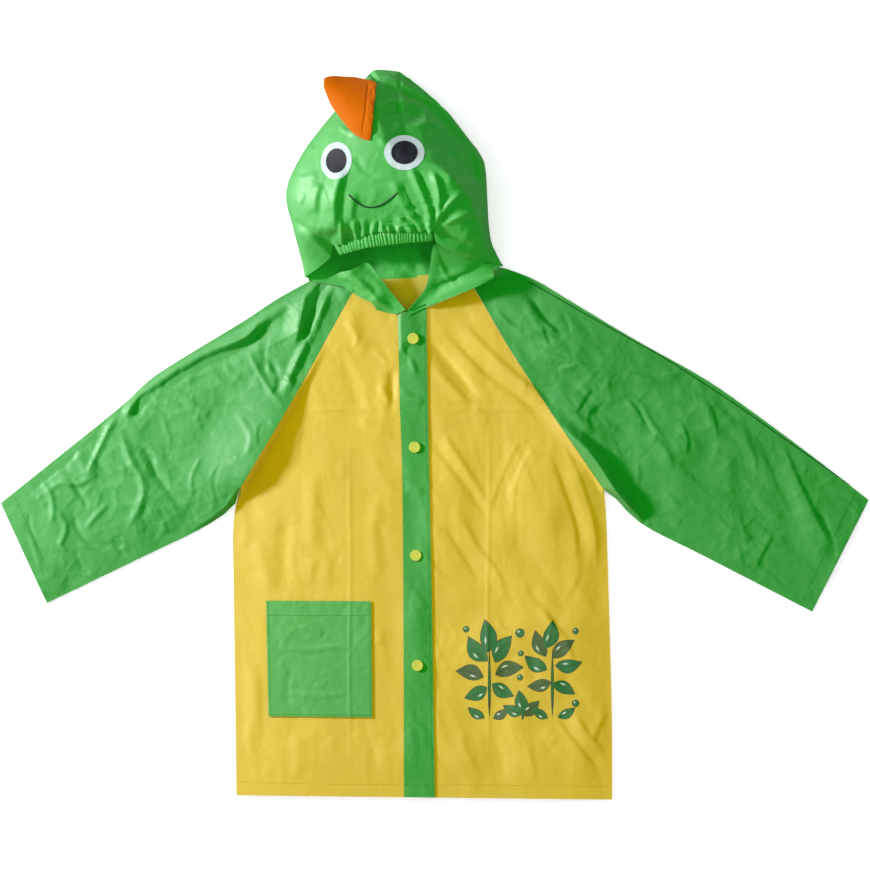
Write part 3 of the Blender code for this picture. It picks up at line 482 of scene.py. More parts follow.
class RaincoatTrim(bpy.types.PropertyGroup):
    snap: colour_of("Snaps", "Light yellow of the snap caps", (0.560, 0.610, 0.085))
    eye_white: colour_of("Eye rings", "Pale rings of the eyes", (0.560, 0.690, 0.670))
    ink: colour_of("Ink", "Dark of the pupils", (0.020, 0.021, 0.030))
    print_green: colour_of("Print green", "Leaves of the print", (0.001, 0.170, 0.010))
    print_olive: colour_of("Print olive", "Second tone of the leaves", (0.050, 0.120, 0.006))
    stitch_length: length_of("Stitch", "Length of a stitch", 0.0024)
    stitch_gap: length_of("Stitch gap", "Space between two stitches", 0.0010)
    stitch_radius: length_of("Thread radius", "Radius of the sewing thread", 0.00032)


class RaincoatStudio(bpy.types.PropertyGroup):
    key: amount_of("Key light", "Strength of the low light from the side", 1.0)
    fill: amount_of("Fill light", "Strength of the even light from all round", 2.4)
    camera_height: length_of("Camera height", "Height of the camera over the coat", 7.5)


# Working with objects


def only(piece):
    """Deselect everything but one object, and make it the active one."""
    bpy.ops.object.select_all(action="DESELECT")
    piece.select_set(True)
    bpy.context.view_layer.objects.active = piece


def linked(name, data):
    """A new object in the scene."""
    piece = bpy.data.objects.new(name, data)
    bpy.context.scene.collection.objects.link(piece)
    return piece


def add_mesh(name, vertices, faces):
    mesh = bpy.data.meshes.new(name)
    mesh.from_pydata(vertices, [], faces)
    mesh.update()
    return linked(name, mesh)


def all_over(piece, operator, **values):
    """Use an edit mode operator on the whole of a piece."""
    only(piece)
    bpy.ops.object.mode_set(mode="EDIT")
    bpy.ops.mesh.select_all(action="SELECT")
    operator(**values)
    bpy.ops.object.mode_set(mode="OBJECT")


def applied(piece, kind, **values):
    """Add a modifier with these values and apply it."""
    only(piece)
    modifier = piece.modifiers.new(kind.title(), kind)
    for name, value in values.items():
        setattr(modifier, name, value)
    bpy.ops.object.modifier_apply(modifier=modifier.name)


def subdivided(piece, levels):
    applied(
        piece, "SUBSURF", levels=levels, render_levels=levels, boundary_smooth="PRESERVE_CORNERS"
    )


def smoothed(piece, degrees):
    """Shade a piece smooth, with edges sharper than this left crisp."""
    only(piece)
    bpy.ops.object.shade_smooth_by_angle(angle=math.radians(degrees))


def given_thickness(piece):
    applied(piece, "SOLIDIFY", thickness=bpy.context.scene.raincoat_vinyl.thickness, offset=-1.0)
    smoothed(piece, 50)


def vectors_of(piece, kind):
    """Places ("co") or normals ("normal") of a piece's vertices, one row each."""
    flat = np.empty(len(piece.data.vertices) * 3)
    piece.data.vertices.foreach_get(kind, flat)
    return flat.reshape(-1, 3)


def points_of(piece):
    """Vertex positions of a piece in millimetres."""
    return vectors_of(piece, "co") / MM


def put_points(piece, points):
    piece.data.vertices.foreach_set("co", (points * MM).ravel())
    piece.data.update()


def opened(piece):
    """A piece's mesh, to be read or changed."""
    bm = bmesh.new()
    bm.from_mesh(piece.data)
    return bm


def put_back(bm, piece):
    bm.to_mesh(piece.data)
    bm.free()
    piece.data.update()


def tree_of(piece):
    """A piece's surface, to be met by rays."""
    bm = opened(piece)
    tree = BVHTree.FromBMesh(bm)
    bm.free()
    return tree


def copy_of(node, name):
    """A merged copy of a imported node, as a new piece."""
    piece = linked(name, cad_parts[node].data.copy())
    piece.data.materials.clear()
    all_over(piece, bpy.ops.mesh.remove_doubles, threshold=0.00002)
    return piece


def made_fine(piece, levels):
    """Join a piece's triangles in pairs, and divide them smoothly."""
    most = math.radians(60)
    all_over(piece, bpy.ops.mesh.tris_convert_to_quads, face_threshold=most, shape_threshold=most)
    subdivided(piece, levels)
    return piece


def outer_face_only(piece):
    """Keep the outer face of a thin solid: what joins its highest face without a sharp turn."""
    bm = opened(piece)
    bm.normal_update()
    upward = (face for face in bm.faces if face.normal.z > 0.5)
    start = max(upward, key=lambda face: face.calc_center_median().z)
    found, to_search = {start}, [start]
    while to_search:
        for edge in to_search.pop().edges:
            if len(edge.link_faces) == 2 and edge.calc_face_angle() < math.radians(SHARP_TURN):
                fresh = [face for face in edge.link_faces if face not in found]
                found.update(fresh)
                to_search += fresh
    bmesh.ops.delete(bm, geom=[face for face in bm.faces if face not in found], context="FACES")
    keep_corners(bm)
    put_back(bm, piece)


def keep_corners(bm):
    """Pin the sharp corners of an outline, so that smoothing doesn't round them."""
    pins = bm.verts.layers.float.get("crease_vert") or bm.verts.layers.float.new("crease_vert")
    for vertex in bm.verts:
        open_edges = [edge for edge in vertex.link_edges if edge.is_boundary]
        rim = [edge.other_vert(vertex).co - vertex.co for edge in open_edges]
        if len(rim) == 2 and rim[0].angle(rim[1], math.pi) < math.radians(FLAT_CORNER):
            vertex[pins] = 1.0


def fine_skin(node, name):
    """The outer face of a packed sheet, as smooth quads about 2 mm across."""
    piece = copy_of(node, name)
    outer_face_only(piece)
    return made_fine(piece, 3)


def sliced(bm, axis, places, reach):
    """Cut a mesh across one axis at some places. A cut uses the corners within its reach."""
    for place in places:
        middle, turn = Vector(), Vector()
        middle[axis], turn[axis] = place, 1.0
        parts = bm.verts[:] + bm.edges[:] + bm.faces[:]
        bmesh.ops.bisect_plane(bm, geom=parts, plane_co=middle, plane_no=turn, dist=reach)


def plan_skin(node, name, cell):
    """A laid sheet as an even grid in plan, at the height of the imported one's outer face."""
    guide = fine_skin(node, name + "_guide")
    tree = tree_of(guide)
    bpy.data.objects.remove(guide)
    piece = copy_of(node, name)
    outer_face_only(piece)
    bm = opened(piece)
    outline = outline_of(bm)
    bm.free()
    bm = bmesh.new()
    bm.faces.new([bm.verts.new((point.x, point.y, 0)) for point in outline])
    low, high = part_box(node)
    for axis in (0, 1):
        span = high[axis] - low[axis]
        count = round(span / (cell * 8 * MM))
        sliced(bm, axis, [low[axis] + span * index / count for index in range(1, count)], 0.0001)
    keep_corners(bm)
    if sum(face.normal.z for face in bm.faces) < 0:
        bmesh.ops.reverse_faces(bm, faces=bm.faces)
    put_back(bm, piece)
    subdivided(piece, 3)
    points = points_of(piece)
    for point in points:
        x, y = point[:2] * MM
        hit = tree.ray_cast(Vector((x, y, SKY)), DOWN)[0]
        if hit is None:
            hit = tree.find_nearest(Vector((x, y, 0.0)))[0]
        point[2] = hit.z / MM
    put_points(piece, points)
    return piece


def outline_of(bm):
    """Points round the longest open edge of a mesh, in order."""
    left = [edge for edge in bm.edges if edge.is_boundary]
    best = []
    while left:
        start, vertex = left.pop().verts
        loop = [start.co.copy()]
        while vertex is not start:
            loop.append(vertex.co.copy())
            edge = next(each for each in vertex.link_edges if each in left)
            left.remove(edge)
            vertex = edge.other_vert(vertex)
        best = max(best, loop, key=len)
    return best


def join_seam(piece, other):
    """Bring the open edge of a sheet onto the open edge of its neighbour, where they meet."""
    bm = opened(other)
    ends = [[v.co.copy() for v in edge.verts] for edge in bm.edges if edge.is_boundary]
    bm.free()
    corners = [co for pair in ends for co in (pair[0], (pair[0] + pair[1]) / 2, pair[1])]
    rim = BVHTree.FromPolygons(corners, [(3 * i, 3 * i + 1, 3 * i + 2) for i in range(len(ends))])
    bm = opened(piece)
    for vertex in bm.verts:
        if vertex.is_boundary:
            place = rim.find_nearest(vertex.co, SEAM_REACH * MM)[0]
            if place is not None:
                vertex.co = place
    put_back(bm, piece)


def surface_point(names, x, y):
    """Highest point of some pieces above a plan point, and the normal there, in millimetres."""
    best, normal = None, Vector((0, 0, 1))
    for name in names:
        hit, turn, _, _ = SURFACES[name].ray_cast(Vector((x * MM, y * MM, SKY)), DOWN)
        if hit is not None and (best is None or hit.z / MM > best.z):
            best, normal = hit / MM, turn
    return best, normal


def finish_piece(piece, look, *nodes):
    """Give a piece its material, and tell the frame what it is."""
    piece.data.materials.clear()
    piece.data.materials.append(look_called(look))
    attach(piece, "root")
    if nodes:
        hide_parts(*nodes)


def add_cord(name, surfaces, line, radius, lift, look):
    """A thin round cord along a plan line on some pieces."""
    data = bpy.data.curves.new(name, "CURVE")
    data.dimensions = "3D"
    data.bevel_depth = radius * MM
    data.bevel_resolution = 2
    data.use_fill_caps = True
    spline = data.splines.new("POLY")
    places = [surface_point(surfaces, x, y) for x, y in smooth_line(line)]
    places = [(seat + normal * lift) * MM for seat, normal in places if seat is not None]
    spline.points.add(len(places) - 1)
    for point, place in zip(spline.points, places):
        point.co = (*place, 1.0)
    only(linked(name, data))
    bpy.ops.object.convert(target="MESH")
    piece = bpy.context.object
    smoothed(piece, 60)
    finish_piece(piece, look)


# Form of the layers


def smooth_line(line):
    """A finer line through the points of a plan line."""
    points = [np.array(point, float) for point in line]
    if len(points) == 2:
        return points
    finer = []
    for index, (start, end) in enumerate(zip(points, points[1:])):
        before, after = points[max(index - 1, 0)], points[min(index + 2, len(points) - 1)]
        for t in (0.0, 0.25, 0.5, 0.75):
            square = (2 * before - 5 * start + 4 * end - after) * t * t
            cube = (3 * start - before - 3 * end + after) * t**3
            finer.append(0.5 * (2 * start + (end - before) * t + square + cube))
    return finer + [points[-1]]


def shares_along(line):
    """Share of the way along a plan line at each of its points."""
    steps = [math.dist(a, b) for a, b in zip(line, line[1:])]
    return np.cumsum([0.0] + steps) / sum(steps)


def beside_line(x, y, line):
    """Distance from a plan line, positive on its left, and share of the way along it."""
    points = smooth_line(line)
    total = sum(np.hypot(*(b - a)) for a, b in zip(points, points[1:]))
    nearest = np.full(x.shape, 1e9)
    side, share = np.zeros(x.shape), np.zeros(x.shape)
    done = 0.0
    for start, end in zip(points, points[1:]):
        dx, dy = end - start
        length = math.hypot(dx, dy)
        along = np.clip(((x - start[0]) * dx + (y - start[1]) * dy) / length**2, 0, 1)
        off_x, off_y = x - start[0] - along * dx, y - start[1] - along * dy
        distance = np.hypot(off_x, off_y)
        closer = distance < nearest
        nearest = np.where(closer, distance, nearest)
        side = np.where(closer, np.sign(dx * off_y - dy * off_x), side)
        share = np.where(closer, (done + along * length) / total, share)
        done += length
    return nearest * side, share


def eased(value):
    """From 0 to 1 with soft ends."""
    value = np.clip(value, 0, 1)
    return value * value * (3 - 2 * value)


def fold_section(distance, left, right, crisp, tent):
    """Section of a fold, from 1 on its line to 0 past its flanks: a tent as far as it is crisp."""
    across = np.clip(np.abs(distance) / np.where(distance > 0, left, right), 0, 1)
    return crisp * (1 - across) ** tent + (1 - crisp) * (0.5 + 0.5 * np.cos(math.pi * across))


def crease_height(x, y, rows):
    """Sum of listed creases at plan points."""
    total = np.zeros(x.shape)
    for height, left, right, crisp, line, *taper in rows:
        narrow = taper[0] if taper else 1
        reach = max(left, right) * max(1.0, narrow) + 4
        line_x, line_y = zip(*line)
        near = (x > min(line_x) - reach) & (x < max(line_x) + reach)
        near &= (y > min(line_y) - reach) & (y < max(line_y) + reach)
        if near.any():
            distance, share = beside_line(x[near], y[near], line)
            wide = 1 + (narrow - 1) * share
            ends = eased(share / RUN_OUT) * eased((1 - share) / RUN_OUT)
            section = fold_section(distance, left * wide, right * wide, crisp, CREASE_TENT)
            total[near] += height * ends * section
    return total


def small_creases(x, y, place):
    """Many small creases that mostly run one way."""
    box, count, seed, direction, length, width, height = SMALL_CREASES[place]
    draws = np.random.RandomState(seed)
    low_x, low_y, high_x, high_y = box
    rows = []
    for _ in range(count):
        draw = draws.rand(10)
        middle = np.array((low_x + (high_x - low_x) * draw[0], low_y + (high_y - low_y) * draw[1]))
        angle = math.radians(direction + 90 * (draw[2] - 0.5) * (0.4 + draw[3]))
        half = (length[0] + length[1] * draw[4] ** 2) / 2
        along = np.array((math.cos(angle), math.sin(angle)))
        bow = np.array((-along[1], along[0])) * half * 0.5 * (draw[5] - 0.5)
        line = (tuple(middle - along * half), tuple(middle + bow), tuple(middle + along * half))
        rise = (height[0] + height[1] * draw[6] ** 2) * (1 if draw[7] < 0.7 else -1)
        sides = (width[0] + width[1] * draws.rand(2) * (0.5, 1.0)) * (1.0, 2.0)
        rows.append((rise, *sides, 0.9, line))
    return crease_height(x, y, rows)


def on_grid(x, y, size):
    """Places on an even square grid, and the cells that they fall in."""
    u, v = x / size + 100, y / size + 100
    return u, v, np.floor(u).astype(int), np.floor(v).astype(int)


def waves(x, y, size, seed):
    """Smooth even noise from -1 to 1."""
    table = np.random.RandomState(seed).rand(DRAWN, DRAWN) * 2 - 1
    u, v, i, j = on_grid(x, y, size)
    s, t = eased(u - i), eased(v - j)
    i, j, k, m = i % DRAWN, j % DRAWN, (i + 1) % DRAWN, (j + 1) % DRAWN
    low = table[i, j] * (1 - s) + table[k, j] * s
    high = table[i, m] * (1 - s) + table[k, m] * s
    return low * (1 - t) + high * t


def swayed(x, y, amount, size, seed):
    """Plan points pushed about a little, so that what is laid on them wavers."""
    return x + amount * waves(x, y, size, seed), y + amount * waves(x, y, size, seed + 1)


def facets(x, y, size, seed):
    """Flat facets with crisp ridges between them, from 0 to about 1."""
    shift_x, shift_y = np.random.RandomState(seed).rand(2, DRAWN, DRAWN)
    u, v, i, j = on_grid(x, y, size)
    first, second = np.full(x.shape, 9.0), np.full(x.shape, 9.0)
    for di in (-1, 0, 1):
        for dj in (-1, 0, 1):
            a, b = i + di, j + dj
            cell = a % DRAWN, b % DRAWN
            distance = np.hypot(a + shift_x[cell] - u, b + shift_y[cell] - v)
            second = np.minimum(second, np.maximum(first, distance))
            first = np.minimum(first, distance)
    return 1 - np.clip(second - first, 0, 1)


def turned(x, y, degrees):
    """Plan points seen along and across a direction."""
    angle = math.radians(degrees)
    return x * math.cos(angle) + y * math.sin(angle), -x * math.sin(angle) + y * math.cos(angle)


@cache
def crumple_tree(size, stretch, seed):
    """A sheet of uneven triangles, larger than the coat, with corners at heights from -1 to 1."""
    draws = np.random.RandomState(seed)
    count_u, count_v = int(CRUMPLE_SPAN / size / stretch), int(CRUMPLE_SPAN / size)
    corners, faces = [], []
    for i in range(count_u):
        for j in range(count_v):
            shift_u, shift_v, height = draws.rand(3)
            u = (i + 0.8 * (shift_u - 0.5)) * size * stretch - CRUMPLE_SPAN / 2
            v = (j + 0.8 * (shift_v - 0.5) + 0.5 * (i % 2)) * size - CRUMPLE_SPAN / 2
            corners.append((u, v, 2 * height - 1))
    for i in range(count_u - 1):
        for j in range(count_v - 1):
            a, b = i * count_v + j, (i + 1) * count_v + j
            if i % 2:
                faces += [(a, b, b + 1), (a, b + 1, a + 1)]
            else:
                faces += [(a, b, a + 1), (b, b + 1, a + 1)]
    return BVHTree.FromPolygons(corners, faces)


def crumpled(x, y, size, stretch, direction, seed):
    """Flat facets between uneven heights, from -1 to 1: the look of crumpled film."""
    tree = crumple_tree(size, stretch, seed)
    heights = np.zeros(x.shape)
    for index, place in enumerate(zip(*turned(x, y, direction))):
        hit = tree.ray_cast(Vector((*place, 5)), DOWN)[0]
        heights[index] = hit.z if hit is not None else 0
    return heights


def sleeve_crumple(x, y, direction, seed):
    """Creases of a crumpled sleeve, which mostly run one way."""
    bend_x, bend_y = swayed(x, y, 5, 30, seed + 1)
    where = np.clip(0.6 + 0.6 * waves(x, y, 55, seed + 5), 0.15, 1)
    wide = crumpled(bend_x, bend_y, 18, 1.8, direction, seed + 3)
    narrow = crumpled(bend_x, bend_y, 9, 1.7, direction + 15, seed + 4)
    ridges = facets(*turned(bend_x, bend_y, direction), 24, seed + 6) ** 2.5
    return where * (1.6 * wide + 0.7 * narrow + 0.8 * ridges)


def fold_height(x, y):
    """The high folds, each with its own height from point to point."""
    total = np.zeros(x.shape)
    for left, right, crisp, rows in HIGH_FOLDS:
        line = [row[:2] for row in rows]
        distance, share = beside_line(x, y, line)
        level = np.interp(share, shares_along(line), [row[2] for row in rows])
        total = np.maximum(total, fold_section(distance, left, right, crisp, FOLD_TENT) * level)
    return total


def hem_share(y):
    """How free the film is to rise, least at the hem."""
    return 0.3 + 0.7 * eased((y - HEM_Y) / HEM_DEPTH)


def broad_relief(x, y):
    """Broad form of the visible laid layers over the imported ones, at plan points."""
    body = 1.8 * eased((x + 200) / 90) * eased((212 - x) / 60)
    shoulder = 1.6 * np.exp(-(((y - 90) / 90) ** 2))
    calm = 0.4 + 0.6 * eased((np.abs(x + 130) - 60) / 60)
    soft = calm * (1.3 * waves(x, y, 62, 3) + 0.7 * waves(x, y, 30, 4))
    hang = 1.2 * calm * waves(x, y / 4.5, 24, 5) * eased((40 - y) / 80)
    return (1.2 + body + shoulder + soft + hang) * hem_share(y)


def past_seam(x, y, side):
    """From 0 at the -X side of a raglan seam to 1 at its +X side."""
    return eased((x - np.interp(y, SEAM_HEIGHTS, RAGLAN_SEAMS[side])) / SEAM_BLEND + 0.5)


def fine_relief(x, y):
    """Creases and crumples over the broad form."""
    on_right, on_left = 1 - past_seam(x, y, "right"), past_seam(x, y, "left")
    on_front = (1 - on_right) * (1 - on_left)
    calm = 0.4 + 0.6 * eased((x + 60) / 80)
    total = on_right * sleeve_crumple(x, y, -38, 20)
    total += on_left * sleeve_crumple(x, y, -52, 30)
    total += on_left * 1.5 * crumpled(*swayed(x, y, 5, 40, 36), 25, 2.4, -40, 38)
    bent = swayed(x, y, 4, 30, 45)
    wide, narrow = crumpled(*bent, 27, 2.4, -75, 41), crumpled(*bent, 12, 2.2, -70, 42)
    total += on_front * calm * (1.3 * wide + 0.35 * narrow)
    total += on_right * small_creases(x, y, "right sleeve")
    total += on_left * small_creases(x, y, "left sleeve")
    total += on_front * small_creases(x, y, "fronts")
    for rows in (
        SLEEVE_RIGHT_CREASES, SLEEVE_LEFT_CREASES, FRONT_RIGHT_CREASES, FRONT_LEFT_CREASES,
    ):
        total += crease_height(x, y, rows)
    return total * hem_share(y)


def raised(points):
    """Points of a laid layer, lifted by the relief and kept off the layer below."""
    x, y, z = points.T
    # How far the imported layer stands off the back, from 0 at an outer seam to 1
    puff = np.clip((z - 2 * WALL - SEAM_RISE) / PUFF_FULL, 0, 1)
    lift = broad_relief(x, y) * eased(puff)
    lift += fine_relief(x, y) * eased(puff / CREASES_WHOLE)
    lift += fold_height(x, y) * eased(puff / FOLDS_WHOLE)
    lowest = 2 * WALL + REST_GAP - 0.1
    points[:, 2] = np.maximum(z + lift, np.maximum(lowest, np.minimum(z, lowest + SEAM_RISE)))
    return points


# Materials


class Value:
    """A number in a shader tree. A sum or product of it is a math node."""

    def __init__(self, socket):
        self.socket = socket

    def math(self, operation, *others, clamp=False):
        inputs = dict(enumerate((self, *others)))
        tree = self.socket.id_data
        node = add_node(tree, "Math", inputs, operation=operation, use_clamp=clamp)
        return Value(node.outputs[0])

    def scaled(self, factor, plus, clamp=False):
        return self.math("MULTIPLY_ADD", factor, plus, clamp=clamp)

    def __add__(self, other):
        return self.math("ADD", other)

    def __sub__(self, other):
        return self.math("SUBTRACT", other)

    def __mul__(self, other):
        return self.math("MULTIPLY", other)

    def __truediv__(self, other):
        return self.math("DIVIDE", other)

    def __lt__(self, other):
        return self.math("LESS_THAN", other)

    def __abs__(self):
        return self.math("ABSOLUTE")


def add_node(tree, kind, inputs, **settings):
    """A shader node with these settings, and with constants or links on its inputs."""
    node = tree.nodes.new("ShaderNode" + kind)
    for name, value in settings.items():
        setattr(node, name, value)
    fill_inputs(node, inputs)
    return node


def fill_inputs(node, inputs):
    """Set or link some inputs of a node, by name or number."""
    for label, value in inputs.items():
        value = value.socket if isinstance(value, Value) else value
        if isinstance(value, bpy.types.NodeSocket):
            node.id_data.links.new(value, node.inputs[label])
        else:
            node.inputs[label].default_value = value


def noise(coords, scale, detail, distortion=0.0, output="Fac"):
    """Even noise in all directions."""
    inputs = {"Vector": coords, "Scale": scale, "Detail": detail, "Distortion": distortion}
    return Value(add_node(coords.id_data, "TexNoise", inputs).outputs[output])


def mixed(tree, factor, first, second):
    inputs = {0: factor, 6: first, 7: second}
    return add_node(tree, "Mix", inputs, data_type="RGBA").outputs[2]


def bumped(tree, height, distance):
    """Normal of a surface with fine relief of this depth."""
    inputs = {"Strength": 1.0, "Distance": distance, "Height": height}
    return add_node(tree, "Bump", inputs).outputs["Normal"]


def object_coords(tree):
    return add_node(tree, "TexCoord", {}).outputs["Object"]


def shader_group(name, inputs, outputs):
    """A new node group: its tree, its inputs by name, and its output node."""
    group = bpy.data.node_groups.new(name, "ShaderNodeTree")
    for way, labels in (("INPUT", inputs), ("OUTPUT", outputs)):
        for label in labels:
            kind = "NodeSocketColor" if label == "Colour" else "NodeSocketFloat"
            socket = group.interface.new_socket(label, in_out=way, socket_type=kind)
            if way == "INPUT":
                socket.default_value = inputs[label]
    taken = group.nodes.new("NodeGroupInput").outputs
    take = {label: Value(taken[label]) for label in inputs}
    return group, take, group.nodes.new("NodeGroupOutput")


@cache
def film_group():
    """Shared look of thin vinyl film: tone, gloss and fine crinkles."""
    group, take, give = shader_group(
        "Vinyl film",
        {"Colour": (0.5, 0.5, 0.5, 1.0), "Crinkle": 1.0, "Gloss": 0.36},
        ("Colour", "Roughness", "Height"),
    )
    coords = object_coords(group)
    push = {0: noise(coords, 28.0, 2.0, output="Color"), 1: (0.022, 0.022, 0.022), 2: coords}
    bent = add_node(group, "VectorMath", push, operation="MULTIPLY_ADD").outputs[0]
    folds = {
        "Vector": bent, "Scale": 21.0, "Detail": 2.6, "Roughness": 0.55, "Lacunarity": 2.3,
        "Offset": 0.9, "Gain": 1.6,
    }
    ridged = add_node(group, "TexNoise", folds, noise_type="RIDGED_MULTIFRACTAL")
    net = {"Vector": bent, "Scale": 75.0}
    cells = add_node(group, "TexVoronoi", net, feature="DISTANCE_TO_EDGE")
    patches = noise(coords, 16.0, 2.0).scaled(2.6, -0.8, clamp=True)
    flat_facets = Value(cells.outputs["Distance"]) * 1.1
    crinkles = Value(ridged.outputs["Fac"]).scaled(0.55, flat_facets) * patches
    ripple = noise(coords, 60.0, 2.5, 0.8).scaled(0.75, crinkles) * take["Crinkle"]
    grain = noise(coords, 1500.0, 1.0)
    shade = crinkles.scaled(0.05, noise(coords, 7.0, 4.0).scaled(0.16, 0.92))
    worn = noise(coords, 33.0, 4.0).scaled(0.14, -0.07)
    tone = add_node(group, "VectorMath", {0: take["Colour"], "Scale": shade}, operation="SCALE")
    rough = worn.math("ADD", take["Gloss"], clamp=True)
    height = grain.scaled(0.012, ripple)
    fill_inputs(give, {"Colour": tone.outputs[0], "Roughness": rough, "Height": height})
    return group


@cache
def leaf_group():
    """A pointed leaf in the plane: how far a point lies outside it, across it and along it."""
    group, take, give = shader_group(
        "Leaf shape",
        dict.fromkeys(("X", "Y", "Middle X", "Middle Y", "Turn", "Length", "Width", "Curl"), 0.0),
        ("Outside", "Across", "Along"),
    )
    dx, dy = take["X"] - take["Middle X"], take["Y"] - take["Middle Y"]
    cosine, sine = take["Turn"].math("COSINE"), take["Turn"].math("SINE")
    share = (dx * cosine + dy * sine) * 2.0 / take["Length"]
    square = share * share
    across = dy * cosine - dx * sine + take["Curl"] * take["Length"] * square
    half = take["Width"] * 0.5
    edge = half * square.scaled(-1.0, 1.0) * share.scaled(-0.28, 1.0)
    beyond = (abs(share) - 1.0) * half
    outside = beyond.math("MAXIMUM", abs(across) - edge)
    fill_inputs(give, {"Outside": outside, "Across": across, "Along": share})
    return group


@cache
def sprig_group():
    """The printed sprigs: masks of the outline, the green, the olive and the highlights."""
    group, _, give = shader_group("Sprig print", {}, ("Outline", "Green", "Olive", "Highlight"))
    place = add_node(group, "SeparateXYZ", {0: object_coords(group)}).outputs
    x, y = Value(place[0]) * (1 / MM), Value(place[1]) * (1 / MM)
    masks = {}

    def add(name, mask):
        masks[name] = masks[name].math("MAXIMUM", mask) if name in masks else mask

    def leaf(*shape):
        labels = ("X", "Y", "Middle X", "Middle Y", "Turn", "Length", "Width", "Curl")
        node = add_node(group, "Group", {}, node_tree=leaf_group())
        fill_inputs(node, dict(zip(labels, (x, y, *shape))))
        return [Value(output) for output in node.outputs]

    for mid_x, mid_y, turn, length, width, curl, is_olive in LEAVES:
        far, across, share = leaf(mid_x, mid_y, math.radians(turn), length, width, curl)
        vein = (abs(across) < 0.35) * (far < -0.8)
        light = abs(across - 0.2 * width) + abs(share + 0.25) * 4.2
        add("Outline", far < 0.0)
        add("Olive" if is_olive else "Green", (far < -0.75) * vein.scaled(-1.0, 1.0))
        add("Highlight", (light < 1.1) * (far < -1.2))
    for (x0, y0), (x1, y1) in STALKS:
        length, turn = math.hypot(x1 - x0, y1 - y0) * 1.1, math.atan2(y1 - y0, x1 - x0)
        far, _, _ = leaf((x0 + x1) / 2, (y0 + y1) / 2, turn, length, STALK_WIDTH, 0.0)
        add("Outline", far < 0.0)
        add("Green", far < -0.8)
    for mid_x, mid_y, radius in DROPS:
        dx, dy, aside = x - mid_x, y - mid_y, 0.3 * radius
        far = (dx * dx + dy * dy).math("SQRT")
        add("Outline", far < radius)
        add("Green", far < radius - 0.8)
        add("Highlight", abs(dx + aside) + abs(dy - aside) < aside)
    fill_inputs(give, masks)
    return group


def new_material(name):
    """A new material: itself, its tree and its shader."""
    look = bpy.data.materials.new(name)
    look.use_nodes = True
    return look, look.node_tree, look.node_tree.nodes["Principled BSDF"]


def film_material(name, colour, crinkle, gloss=0.80, specular=1.0, coat=0.5):
    """A vinyl panel's material."""
    look, tree, shader = new_material(name)
    crinkle *= bpy.context.scene.raincoat_vinyl.crinkle
    film = add_node(tree, "Group", {}, node_tree=film_group())
    fill_inputs(film, {"Colour": colour, "Crinkle": crinkle, "Gloss": gloss})
    shown = film.outputs["Colour"]
    if name == "Yellow vinyl, printed":
        shown = printed(tree, shown)
    rough, relief = film.outputs["Roughness"], bumped(tree, film.outputs["Height"], CRINKLE_DEPTH)
    fill_inputs(shader, {"Base Color": shown, "Roughness": rough, "Normal": relief})
    fill_inputs(shader, {"IOR": 2.2, "Specular IOR Level": specular})
    fill_inputs(shader, {"Coat Weight": coat, "Coat Roughness": 0.42})
    return look


def printed(tree, shown):
    """A colour with the sprigs printed over it."""
    trim = bpy.context.scene.raincoat_trim
    masks = add_node(tree, "Group", {}, node_tree=sprig_group()).outputs
    for mask, ink in (
        ("Outline", PRINT_OUTLINE),
        ("Olive", tuple(trim.print_olive)),
        ("Green", tuple(trim.print_green)),
        ("Highlight", PRINT_LIGHT),
    ):
        shown = mixed(tree, masks[mask], shown, ink)
    return shown


def plain_material(name, colour, roughness, grain_scale, grain_depth, variation=0.10):
    """Plastic, ink or thread: a tone that changes a little and a fine grain."""
    look, tree, shader = new_material(name)
    coords = object_coords(tree)
    tone = noise(coords, grain_scale * 0.2, 3.0)
    dark, light = (
        (*(min(1.0, part * share) for part in colour[:3]), 1.0)
        for share in (1 - variation, 1 + variation)
    )
    rough = tone.scaled(0.12, roughness - 0.06, clamp=True)
    relief = bumped(tree, noise(coords, grain_scale, 2.0), grain_depth)
    shown = mixed(tree, tone, dark, light)
    fill_inputs(shader, {"Base Color": shown, "Roughness": rough, "Normal": relief})
    return look


@cache
def look_called(name):
    """The material of a name, made the first time that it is asked for."""
    _, colour, *values = LOOKS[name]
    vinyl, trim = bpy.context.scene.raincoat_vinyl, bpy.context.scene.raincoat_trim
    if isinstance(colour, str):
        colour = getattr(vinyl if hasattr(vinyl, colour) else trim, colour)
    # The pocket's green is whitened by a painted sheen
    if name == "Pocket vinyl":
        colour = [part * share for part, share in zip(colour, POCKET_SHEEN_TINT)]
    make = film_material if name in FILM_LOOKS else plain_material
    return make(name, tuple(colour), *values)


# Panels


def laid_panel(node, name, look, cell, creases=()):
    """A front panel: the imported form, finer, with creases, as thin film."""
    piece = plan_skin(node, name, cell)
    points = raised(points_of(piece))
    if creases:
        points[:, 2] += np.maximum(0, 0.1 + crease_height(points[:, 0], points[:, 1], creases))
    if node == "placket":
        points[:, 1] += PLACKET_REACH * eased((points[:, 1] - PLACKET_TOP) / 9)
    put_points(piece, points)
    SURFACES[name] = tree_of(piece)
    given_thickness(piece)
    finish_piece(piece, look, node)


def floor_panel(node, name, look):
    """A panel that lies on the floor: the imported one, diced fine, with a slightly uneven top."""
    piece = copy_of(node, name)
    bm = opened(piece)
    low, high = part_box(node)
    for axis in (0, 1):
        sliced(bm, axis, np.arange(low[axis] + DICE * MM, high[axis], DICE * MM), 0.00001)
    put_back(bm, piece)
    points = points_of(piece)
    x, y, z = points.T
    uneven = FLOOR_UNEVEN * waves(x, y, 30, 8) - 1.1 * FLOOR_UNEVEN
    points[:, 2] = np.where(z > WALL / 2, z + uneven, z)
    put_points(piece, points)
    finish_piece(piece, look, node)
    smoothed(piece, 30)


# Operators, one for each piece or group of like pieces


